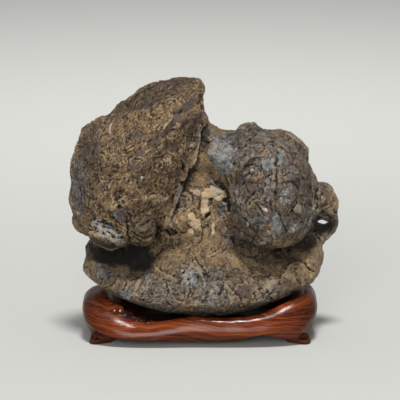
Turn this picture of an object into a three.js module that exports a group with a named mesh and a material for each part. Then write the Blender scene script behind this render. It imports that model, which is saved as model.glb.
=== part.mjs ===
// A scholars rock on its carved hardwood stand, in millimetres, +Z up, with the front facing -Y.
// The origin is on the table, under the middle of the whole object.
// The stone is one solid, drawn as a field that is positive inside it and turned into a surface.
// The stand is one piece of wood: a shallow tray on four short feet, built as rings of one section
// that changes on its way round.

import * as THREE from 'three';
import { MarchingCubes } from 'three/addons/objects/MarchingCubes.js';
import { ImprovedNoise } from 'three/addons/math/ImprovedNoise.js';
import { mergeVertices } from 'three/addons/utils/BufferGeometryUtils.js';

// Driving dimensions of the stone

const STONE_COLOUR = 0x5d4f40;

// Outlines are drawn as [across, up], as the stone shows from this far above the front.
const SIGHT_TILT = THREE.MathUtils.degToRad(12);
const OUTLINE_STEP = 5; // between the points that an outline is measured from
const OUTLINE_SOFTNESS = 5; // rounds the ridge where the two sides of an outline meet

const CAP_OUTLINE = [
  [-110, 105], [-108, 126], [-106, 140], [-102, 154], [-96, 164], [-90, 170], [-81, 175], [-73, 178], [-67, 185],
  [-61, 191], [-55, 195], [-47, 199], [-38, 201], [-31, 203], [-21, 203], [-10, 203], [-3, 202], [1, 199], [1, 192],
  [-1, 182], [1, 174], [-2, 166], [-4, 154], [-7, 143], [-11, 129], [-19, 118], [-25, 105], [-32, 93], [-38, 84],
  [-42, 74], [-48, 71], [-57, 76], [-63, 77], [-65, 68], [-72, 66], [-79, 68], [-86, 73], [-93, 77], [-103, 84],
  [-109, 93],
];
const HEAD_OUTLINE = [
  [27, 165], [35, 167], [41, 168], [50, 165], [62, 163], [70, 161], [76, 158], [80, 153], [85, 146], [87, 138],
  [88, 129], [89, 118], [89, 106], [89, 94], [85, 84], [80, 78], [74, 73], [67, 69], [60, 67], [50, 67], [42, 69],
  [34, 73], [26, 76], [20, 82], [18, 95], [17, 108], [18, 125], [20, 145],
];
const SHOULDER_OUTLINE = [
  [-8, 120], [-6, 160], [4, 172], [9, 169], [14, 164], [30, 157], [50, 148], [60, 136], [50, 118], [20, 112],
  [6, 122],
];
const KNOB_OUTLINE = [
  [84, 118], [93, 121], [100, 119], [105, 113], [109, 105], [107, 97], [104, 89], [99, 93], [90, 92], [84, 98],
];

// The bottom is a bowl that the stand's recess is cut for.
const BOTTOM = { x: -2, y: 0, z: 15, across: 0.0036, forward: 0.00625 };

// Driving dimensions of the stand

const WOOD_COLOUR = 0x6b3120;
const PLAN = { x: -4, y: -2, length: 188, depth: 104 };
const SQUARENESS = 4; // 2 is an oval; the rim is rounder than this and the feet are squarer
const SEGMENTS = 76;
const FLOOR = 14.6; // of the recess that the stone rests in
const UNDERSIDE = 8.5;
const FEET = [23, 157, 203, 337]; // degrees from the right end
const FOOT_WIDTH = 9.5;
const FOOT_SPREAD = 11; // over which a foot runs out into the lower edge

// Heights on the way round, as [degrees from the right end, mm], anticlockwise from above.
const RIM_HEIGHTS = [
  [0, 37.5], [12, 37], [22, 34.5], [35, 30], [50, 26.5], [70, 24.5], [90, 25], [110, 24.5], [130, 26], [145, 28.5],
  [158, 33], [168, 35.5], [180, 36], [192, 35], [202, 31], [210, 25.5], [217, 21.5], [223, 20], [229, 20.2],
  [236, 20.8], [244, 22], [253, 23.4], [263, 24.4], [272, 24.4], [282, 23.8], [292, 23.3], [302, 23.5],
  [312, 24.4], [320, 26.5], [328, 31], [335, 35], [344, 37.5],
];
const EDGE_HEIGHTS = [
  [0, 8], [40, 8], [65, 5.5], [90, 4.8], [120, 5.5], [142, 8], [180, 8], [214, 6.4], [220, 6], [228, 4.9], [245, 4.6],
  [295, 4.6], [309, 6.5], [318, 9.2], [323, 7.8], [330, 5], [345, 7],
];

// Field helpers: every field is roughly the distance in mm to the surface, positive inside.

const join = (a, b, blend) => {
  const share = Math.max(blend - Math.abs(a - b), 0) / blend;
  return Math.max(a, b) + (share * share * blend) / 4;
};
const carve = (a, b, blend) => -join(-a, b, blend);

function outlineOf(points) {
  const curve = new THREE.CatmullRomCurve3(points.map(([across, up]) => new THREE.Vector3(across, up, 0)), true);
  const count = Math.round(curve.getLength() / OUTLINE_STEP);
  const ring = curve.getSpacedPoints(count).slice(0, count);
  return { ring, step: curve.getLength() / count };
}

// How far a point of the front view lies inside an outline, negative outside.
function depthInside({ ring, step }, across, up) {
  let nearest = Infinity;
  let softSum = 0;
  let inside = false;
  ring.forEach((a, i) => {
    const b = ring[(i + 1) % ring.length];
    const edgeX = b.x - a.x;
    const edgeY = b.y - a.y;
    const along = ((across - a.x) * edgeX + (up - a.y) * edgeY) / (edgeX * edgeX + edgeY * edgeY);
    const share = Math.min(1, Math.max(0, along));
    const gap = Math.hypot(across - a.x - share * edgeX, up - a.y - share * edgeY);
    nearest = Math.min(nearest, gap);
    softSum += Math.exp(-gap / OUTLINE_SOFTNESS);
    if (a.y > up !== b.y > up && across < (edgeX * (up - a.y)) / edgeY + a.x) inside = !inside;
  });
  if (!inside) return -nearest;
  const soft = -OUTLINE_SOFTNESS * Math.log((softSum * step) / (2 * OUTLINE_SOFTNESS));
  return Math.max(0.2 * nearest, Math.min(nearest, soft));
}

// A lump with a drawn outline, swelling to the front and back of its middle plane.
function lump(points, { middle, front, back, round }) {
  const outline = outlineOf(points);
  return (p) => {
    const up = p.z * Math.cos(SIGHT_TILT) + p.y * Math.sin(SIGHT_TILT);
    const edge = (round - Math.min(round, depthInside(outline, p.x, up))) / round;
    const swell = (p.y - middle) / (p.y < middle ? front : back);
    return (1 - Math.hypot(edge, swell)) * Math.min(round, front, back);
  };
}

// An ellipsoid, turned by degrees about X, Y and Z.
function ball(centre, radii, turn = [0, 0, 0]) {
  const middle = new THREE.Vector3(...centre);
  const size = new THREE.Vector3(...radii);
  const degrees = turn.map(THREE.MathUtils.degToRad);
  const unturn = new THREE.Quaternion().setFromEuler(new THREE.Euler(...degrees)).invert();
  return (p) => {
    const local = p.clone().sub(middle).applyQuaternion(unturn).divide(size);
    const reach = local.length();
    const steepness = local.divide(size).length();
    return steepness < 1e-9 ? Math.min(...radii) : (reach * (1 - reach)) / steepness;
  };
}

// The stone's parts

const cap = lump(CAP_OUTLINE, { middle: -10, front: 43, back: 36, round: 42 });
const head = lump(HEAD_OUTLINE, { middle: -14, front: 42, back: 34, round: 38 });
const shoulder = lump(SHOULDER_OUTLINE, { middle: -4, front: 30, back: 32, round: 26 });
const knob = lump(KNOB_OUTLINE, { middle: 0, front: 15, back: 16, round: 13 });
const claw = ball([-77, -28, 88], [18, 18, 13], [0, 30, 0]);
const knuckle = ball([-51, -28, 92], [13, 17, 15]);
const boulder = ball([-16, -13, 94], [17, 12, 15], [0, -25, 0]);
const leftCave = ball([-64, -50, 67], [34, 48, 19], [0, 8, 0]);
const rightCave = ball([62, -50, 70], [38, 38, 20], [0, -4, 0]);
const rightHollow = ball([94, -28, 83], [12, 30, 9], [0, 25, 0]);
const tunnel = ball([96.4, 0, 91.2], [5, 60, 3.8], [-12, 0, 0]);
const rightWall = ball([96.5, 6, 79], [9, 14, 24], [0, 14, 0]);
const rightNotch = ball([113, 0, 67], [19, 60, 14]);
const rightBack = ball([77, 14, 90], [19, 15, 22]);
const headRoot = ball([42, 6, 82], [26, 18, 18]);
const leftBack = ball([-63, 8, 65], [30, 28, 20], [0, 15, 0]);
const leftNotch = ball([-101, 0, 79], [11, 60, 4.5], [0, 15, 0]);
const back = ball([0, 18, 96], [66, 26, 62]);
const backLumps = [
  ball([-38, 30, 74], [34, 21, 30], [0, 30, 0]),
  ball([44, 28, 92], [28, 20, 42], [0, -16, 0]),
  ball([6, 32, 52], [42, 20, 22]),
  ball([-2, 26, 126], [26, 20, 26], [0, 20, 0]),
];
const backHollows = [
  ball([6, 55, 92], [10, 18, 34], [0, 24, 0]),
  ball([-62, 52, 104], [12, 18, 24], [0, -20, 0]),
  ball([78, 50, 66], [15, 20, 13]),
];

// The wide skirt at the bottom, whose rim is higher at its two ends than at the front.
function skirt(p) {
  const leftStep = 4 * THREE.MathUtils.smoothstep(-p.x, 54, 60);
  const depth = p.y < 1 ? 50 - leftStep : 42;
  const plan = Math.pow(Math.abs((p.x + 2.5) / 95.5) ** 2.3 + Math.abs((p.y - 1) / depth) ** 2.3, 1 / 2.3);
  const side = (1 - plan) * 46;
  const end = Math.min(1, Math.abs(p.x / 98));
  const flutes = 1.1 * Math.cos((2 * Math.PI * (p.x + 0.3 * p.z)) / 17);
  const top = 49 + 21 * end ** 2 + Math.min(5, 0.2 * (p.y + 48)) - p.z;
  return carve(side + flutes, -top, 8);
}

// The waist, spreading from the neck down to the skirt's rim.
function flare(p) {
  const up = (p.z - 50) / 42;
  const widen = Math.max(0, 1 - up) ** 1.5;
  const across = 24 + 34 * widen;
  const reach = 28 + 27 * widen;
  const round = (1 - Math.hypot((p.x - 2) / across, (p.y - 8) / reach)) * Math.min(across, reach);
  return Math.min(round, 150 - p.z);
}

function bowl(p) {
  const x = p.x - BOTTOM.x;
  const y = p.y - BOTTOM.y;
  const height = p.z - BOTTOM.z - BOTTOM.across * x * x - BOTTOM.forward * y * y;
  return height / Math.hypot(1, 2 * BOTTOM.across * x, 2 * BOTTOM.forward * y);
}

const noise = new ImprovedNoise();
const bumps = (p, size) => noise.noise(p.x / size + 7.3, p.y / size + 2.1, p.z / size + 5.7);

function stone(p) {
  let field = skirt(p);
  field = join(field, flare(p), 14);
  field = join(field, back(p), 16);
  field = join(field, leftBack(p), 10);
  field = join(field, rightWall(p), 6);
  field = join(field, rightBack(p), 8);
  field = carve(field, leftCave(p), 6);
  field = carve(field, rightCave(p), 6);
  field = join(field, headRoot(p), 6);
  field = join(field, boulder(p), 6);
  field = join(field, join(head(p), shoulder(p), 9), 4);
  field = join(field, knob(p), 7);
  field = carve(field, rightNotch(p), 4);
  field = carve(field, rightHollow(p), 3);
  field = join(field, join(cap(p), join(claw(p), knuckle(p), 2), 5), 5);
  field = carve(field, leftNotch(p), 2);
  backLumps.forEach((part) => (field = join(field, part(p), 10)));
  backHollows.forEach((part) => (field = carve(field, part(p), 8)));
  field += 1.5 * bumps(p, 24) + bumps(p, 11);
  field = carve(field, tunnel(p), 2);
  return carve(field, -bowl(p), 5);
}

const STONE_BOX = { middle: new THREE.Vector3(0, 0, 112), half: 122, cells: 37 };

function surfaceOf(field, { middle, half, cells }) {
  const cubes = new MarchingCubes(cells, new THREE.MeshStandardMaterial(), false, false, 60000);
  const point = new THREE.Vector3();
  const at = (i) => ((i - cubes.halfsize) / cubes.halfsize) * half;
  for (let k = 0; k < cells; k++)
    for (let j = 0; j < cells; j++)
      for (let i = 0; i < cells; i++) {
        point.set(at(i), at(j), at(k)).add(middle);
        cubes.setCell(i, j, k, field(point));
      }
  cubes.isolation = 0;
  cubes.update();
  const corners = cubes.positionArray.slice(0, cubes.count * 3);
  const loose = new THREE.BufferGeometry().setAttribute('position', new THREE.BufferAttribute(corners, 3));
  loose.scale(half, half, half).translate(...middle);
  return mergeVertices(loose, 1e-3);
}

// Evens out the triangles of a surface and puts its corners back on the field's zero.
function settle(geometry, field, rounds) {
  const place = geometry.getAttribute('position');
  const faces = geometry.index.array;
  const neighbours = Array.from({ length: place.count }, () => new Set());
  for (let f = 0; f < faces.length; f += 3)
    for (let e = 0; e < 3; e++) {
      neighbours[faces[f + e]].add(faces[f + ((e + 1) % 3)]);
      neighbours[faces[f + ((e + 1) % 3)]].add(faces[f + e]);
    }
  const reach = 0.5;
  const axes = ['x', 'y', 'z'];
  const gradient = (p) => new THREE.Vector3(...axes.map((axis) => {
    const ahead = p.clone();
    const behind = p.clone();
    ahead[axis] += reach;
    behind[axis] -= reach;
    return (field(ahead) - field(behind)) / (2 * reach);
  }));
  for (let round = 0; round < rounds; round++) {
    const points = Array.from({ length: place.count }, (_, i) => new THREE.Vector3().fromBufferAttribute(place, i));
    points.forEach((p, i) => {
      const centre = new THREE.Vector3();
      neighbours[i].forEach((n) => centre.add(points[n]));
      const shift = centre.divideScalar(neighbours[i].size).sub(p).multiplyScalar(0.5);
      const steepest = gradient(p);
      const normal = steepest.clone().normalize();
      shift.addScaledVector(normal, -shift.dot(normal));
      const moved = p.clone().add(shift);
      const pull = -field(moved) / Math.max(steepest.lengthSq(), 0.05);
      moved.addScaledVector(steepest, THREE.MathUtils.clamp(pull, -2, 2));
      place.setXYZ(i, moved.x, moved.y, moved.z);
    });
  }
  return geometry;
}

function stoneMesh() {
  const geometry = settle(surfaceOf(stone, STONE_BOX), stone, 4);
  const material = new THREE.MeshStandardMaterial({ color: STONE_COLOUR, roughness: 0.6, metalness: 0 });
  const mesh = new THREE.Mesh(geometry, material);
  mesh.name = 'stone';
  return mesh;
}

// The stand

// A closed smooth curve through heights given at angles.
function aroundOf(keys) {
  return (degrees) => {
    const at = ((degrees % 360) + 360) % 360;
    const last = keys.findLastIndex(([angle]) => angle <= at);
    const key = (i) => {
      const turns = Math.floor(i / keys.length);
      const [angle, height] = keys[i - turns * keys.length];
      return [angle + 360 * turns, height];
    };
    const [a0, h0] = key(last - 1);
    const [a1, h1] = key(last);
    const [a2, h2] = key(last + 1);
    const [a3, h3] = key(last + 2);
    const t = (at - a1) / (a2 - a1);
    const in1 = ((h2 - h0) / (a2 - a0)) * (a2 - a1);
    const in2 = ((h3 - h1) / (a3 - a1)) * (a2 - a1);
    const rest = 1 - t;
    return h1 * (1 + 2 * t) * rest * rest + in1 * t * rest * rest + h2 * t * t * (3 - 2 * t) - in2 * rest * t * t;
  };
}

const rimHeight = aroundOf(RIM_HEIGHTS);
const edgeHeight = aroundOf(EDGE_HEIGHTS);

// A point of the plan's rounded oblong, drawn in by an inset.
function planPoint(degrees, inset, squareness = SQUARENESS) {
  const angle = THREE.MathUtils.degToRad(degrees);
  const across = Math.abs(Math.cos(angle)) / (PLAN.length / 2 - inset);
  const along = Math.abs(Math.sin(angle)) / (PLAN.depth / 2 - inset);
  const reach = (across ** squareness + along ** squareness) ** (-1 / squareness);
  return [PLAN.x + reach * Math.cos(angle), PLAN.y + reach * Math.sin(angle)];
}

// Angles that are evenly spaced along the plan's outline.
function evenAngles(count) {
  const fine = Array.from({ length: 1441 }, (_, i) => i / 4);
  const points = fine.map((degrees) => planPoint(degrees, 0));
  const lengths = [0];
  for (let i = 1; i < fine.length; i++)
    lengths.push(lengths[i - 1] + Math.hypot(points[i][0] - points[i - 1][0], points[i][1] - points[i - 1][1]));
  return Array.from({ length: count }, (_, i) => {
    const want = (lengths.at(-1) * i) / count;
    const before = lengths.findLastIndex((length) => length <= want);
    return fine[before] + (0.25 * (want - lengths[before])) / (lengths[before + 1] - lengths[before]);
  });
}

// 1 on a foot and 0 away from it.
function footShare(degrees) {
  const [x, y] = planPoint(degrees, 5);
  const gaps = FEET.map((foot) => {
    const [footX, footY] = planPoint(foot, 5);
    return Math.hypot(x - footX, y - footY);
  });
  return 1 - THREE.MathUtils.smoothstep(Math.min(...gaps), FOOT_WIDTH / 2, FOOT_WIDTH / 2 + FOOT_SPREAD);
}

// The stand's section at one angle, from the recess over the rim to the underside, as
// [inset, height, squareness of the plan at that ring].
function section(degrees) {
  const rim = rimHeight(degrees);
  const foot = footShare(degrees);
  const end = Math.abs(Math.cos(THREE.MathUtils.degToRad(degrees))) ** 2;
  const edge = edgeHeight(degrees);
  const low = (onFoot, away) => THREE.MathUtils.lerp(away, onFoot, foot);
  const leftward = Math.cos(THREE.MathUtils.degToRad(degrees)) < 0;
  const wide = (inset) => inset * (1 + (leftward ? 0.9 : 0.15) * end);
  return [
    [wide(24), FLOOR, 3.4],
    [wide(20), FLOOR + 0.6, 3.4],
    [wide(16), FLOOR + 0.3 * (rim - FLOOR), 3.5],
    [wide(12.5), FLOOR + 0.72 * (rim - FLOOR), 3.6],
    [wide(9.5), rim - 0.8, 3.6],
    [wide(6.5), rim, 3.6],
    [wide(3), rim - 2.5, 3.6],
    [0.7, rim - 7.5, 3.8],
    [0, rim - 12 - 2 * end, 4.2],
    [low(2.6, 2.4), edge + 0.5 * (rim - 12 - edge), 5],
    [low(5.8, 4.6), low(9, edge + 2.6), 5.5],
    [low(7.2, 6), low(5.4, edge + 0.6), 5.5],
    [low(4.8, 7.4), low(2.6, edge), 5.5],
    [low(6.4, 9), low(0, edge), 5.5],
    [low(14.5, 11), low(0, edge + 0.2), 5.5],
    [low(16.5, 14), low(2.2, edge + 1.4), 5.5],
    [low(21, 20), low(6.5, UNDERSIDE - 0.6), 5],
    [30, UNDERSIDE, 4],
  ];
}

function standMesh() {
  const angles = evenAngles(SEGMENTS);
  const corners = [];
  angles.forEach((degrees) =>
    section(degrees).forEach(([inset, z, square]) => corners.push(...planPoint(degrees, inset, square), z)));
  const rings = section(0).length;
  const topCentre = SEGMENTS * rings;
  corners.push(PLAN.x, PLAN.y, FLOOR, PLAN.x, PLAN.y, UNDERSIDE);
  const faces = [];
  for (let i = 0; i < SEGMENTS; i++) {
    const here = i * rings;
    const next = ((i + 1) % SEGMENTS) * rings;
    faces.push(topCentre, here, next);
    for (let k = 0; k < rings - 1; k++) {
      faces.push(here + k, here + k + 1, next + k + 1);
      faces.push(here + k, next + k + 1, next + k);
    }
    faces.push(topCentre + 1, next + rings - 1, here + rings - 1);
  }
  const geometry = new THREE.BufferGeometry();
  geometry.setAttribute('position', new THREE.Float32BufferAttribute(corners, 3));
  geometry.setIndex(faces);
  geometry.computeVertexNormals();
  const material = new THREE.MeshStandardMaterial({ color: WOOD_COLOUR, roughness: 0.35, metalness: 0 });
  const mesh = new THREE.Mesh(geometry, material);
  mesh.name = 'stand';
  return mesh;
}

// Both pieces are moved together so that the middle of their base is the origin.
const object = new THREE.Group();
object.add(stoneMesh(), standMesh());
const box = new THREE.Box3().setFromObject(object, true);
const middle = box.getCenter(new THREE.Vector3());
object.position.set(-middle.x, -middle.y, -box.min.z);

export default object;
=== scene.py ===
"""A scholars rock on its carved hardwood stand.

The rock is sculpted over its solid model: main forms first, then the lumps, pits and patches that are drawn
where the front view shows them, then wrinkles by region and the drawn cracks.
"""

import itertools
import math

import bmesh
import bpy
import numpy as np
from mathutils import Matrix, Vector
from mathutils.bvhtree import BVHTree


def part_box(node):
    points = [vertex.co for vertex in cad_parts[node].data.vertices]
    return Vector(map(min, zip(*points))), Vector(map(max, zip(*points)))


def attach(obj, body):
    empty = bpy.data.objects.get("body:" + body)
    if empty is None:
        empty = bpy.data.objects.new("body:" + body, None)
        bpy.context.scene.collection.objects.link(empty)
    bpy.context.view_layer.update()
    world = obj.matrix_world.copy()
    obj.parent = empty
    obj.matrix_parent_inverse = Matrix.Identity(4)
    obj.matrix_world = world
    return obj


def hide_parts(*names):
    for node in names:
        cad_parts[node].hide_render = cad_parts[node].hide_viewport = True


bl_info = {
    "name": "Scholars Rock",
    "version": (1, 0, 0),
    "blender": (4, 5, 0),
    "location": "View3D > Sidebar > Scholars Rock",
    "description": "Sculpts a scholars rock and its wooden stand over their solid model, and stages them",
    "category": "Object",
}

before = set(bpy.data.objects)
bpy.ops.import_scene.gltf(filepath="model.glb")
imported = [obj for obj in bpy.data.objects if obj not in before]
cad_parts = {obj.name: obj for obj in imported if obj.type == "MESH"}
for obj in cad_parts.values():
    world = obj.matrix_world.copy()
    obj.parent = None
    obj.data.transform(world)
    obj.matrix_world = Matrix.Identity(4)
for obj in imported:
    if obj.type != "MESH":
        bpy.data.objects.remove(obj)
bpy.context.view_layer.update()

MM = 0.001

# The drawings' own origin, as the solid model moves it to the middle of its base.
SHIFT = np.array([1.302, -3.963, 0.0])

# The front view: pixels across, how far it looks down, where it looks, how far off, and its pixels per mm.
PICTURE = 400
TILT = math.radians(12)
TARGET = np.array([-4.0, 0.0, 108.8]) + SHIFT
DISTANCE = 2400.0
SCALE = 1.25
SIGHT = np.array([0.0, math.cos(TILT), -math.sin(TILT)])
UPWARD = np.array([0.0, math.sin(TILT), math.cos(TILT)])
EYE = TARGET - SIGHT * DISTANCE


# Fields of noise, worked out for many points at once

HASH = np.random.default_rng(11).permutation(256)
SLOPES = np.random.default_rng(12).normal(size=(256, 3))
SLOPES /= np.linalg.norm(SLOPES, axis=1)[:, None]


def hashed(cell):
    """A number from 0 to 255 for each whole-number cell."""
    x, y, z = (cell & 255).T
    return HASH[(HASH[(HASH[x] + y) & 255] + z) & 255]


def noise(points, size, seed=0):
    """Smooth noise, about -1 to 1, whose lumps are that many mm wide."""
    place = points / size + seed * 7.31
    cell = np.floor(place).astype(np.int64)
    part = place - cell
    ease = part**3 * (part * (part * 6 - 15) + 10)
    total = np.zeros(len(points))
    for corner in itertools.product((0, 1), repeat=3):
        corner = np.array(corner)
        share = np.prod(np.where(corner, ease, 1 - ease), axis=1)
        total += share * np.einsum("ij,ij->i", SLOPES[hashed(cell + corner)], part - corner)
    return total * 1.6


def layered(points, size, octaves, seed=0, rough=0.5):
    """Noise with finer noise on it, each layer half as wide as the last and weaker by that share."""
    return sum(noise(points, size / 2**i, seed + i) * rough**i for i in range(octaves))


def joints(points, size, seed=0):
    """Broken pieces that many mm wide: how far each point is from the nearest joint between two of them."""
    place = points / size + seed * 3.77
    cell = np.floor(place).astype(np.int64)
    first = np.full(len(points), 9.0)
    second = first
    for step in itertools.product((-1, 0, 1), repeat=3):
        near = cell + np.array(step)
        gap = np.linalg.norm(near + (0.5 + 0.42 * SLOPES[hashed(near)]) - place, axis=1)
        second = np.where(gap < first, first, np.minimum(second, gap))
        first = np.minimum(first, gap)
    return (second - first) * size


def ramp(value, low, high):
    """Eases from 0 to 1 as the value goes from low to high."""
    t = np.clip((value - low) / (high - low), 0, 1)
    return t * t * (3 - 2 * t)


# Meshes and objects


def arrays(mesh):
    """A mesh's points and their normals."""
    made = []
    for source, name in ((mesh.vertices, "co"), (mesh.vertex_normals, "vector")):
        flat = np.empty(len(mesh.vertices) * 3)
        source.foreach_get(name, flat)
        made.append(flat.reshape(-1, 3))
    return made


def add_mask(mesh, name, values):
    """Keeps a value for each point, for the material to read."""
    layer = mesh.attributes.new(name, "FLOAT", "POINT")
    layer.data.foreach_set("value", values.astype(np.float32))


def linked(name, data):
    """A new object in the scene that holds that data."""
    made = bpy.data.objects.new(name, data)
    bpy.context.scene.collection.objects.link(made)
    return made


def aimed(name, data, place, way):
    """A new lamp or camera at a place, looking that way."""
    made = linked(name, data)
    made.location = Vector(place)
    made.rotation_mode = "QUATERNION"
    made.rotation_quaternion = Vector(way).to_track_quat("-Z", "Y")
    return made


# The stone

PAINTS = (
    "left", "right", "rim", "waist", "crack", "relief", "slate", "tan", "quartz", "rust", "worn",
    "dark", "pale", "white", "shade",
)

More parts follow.
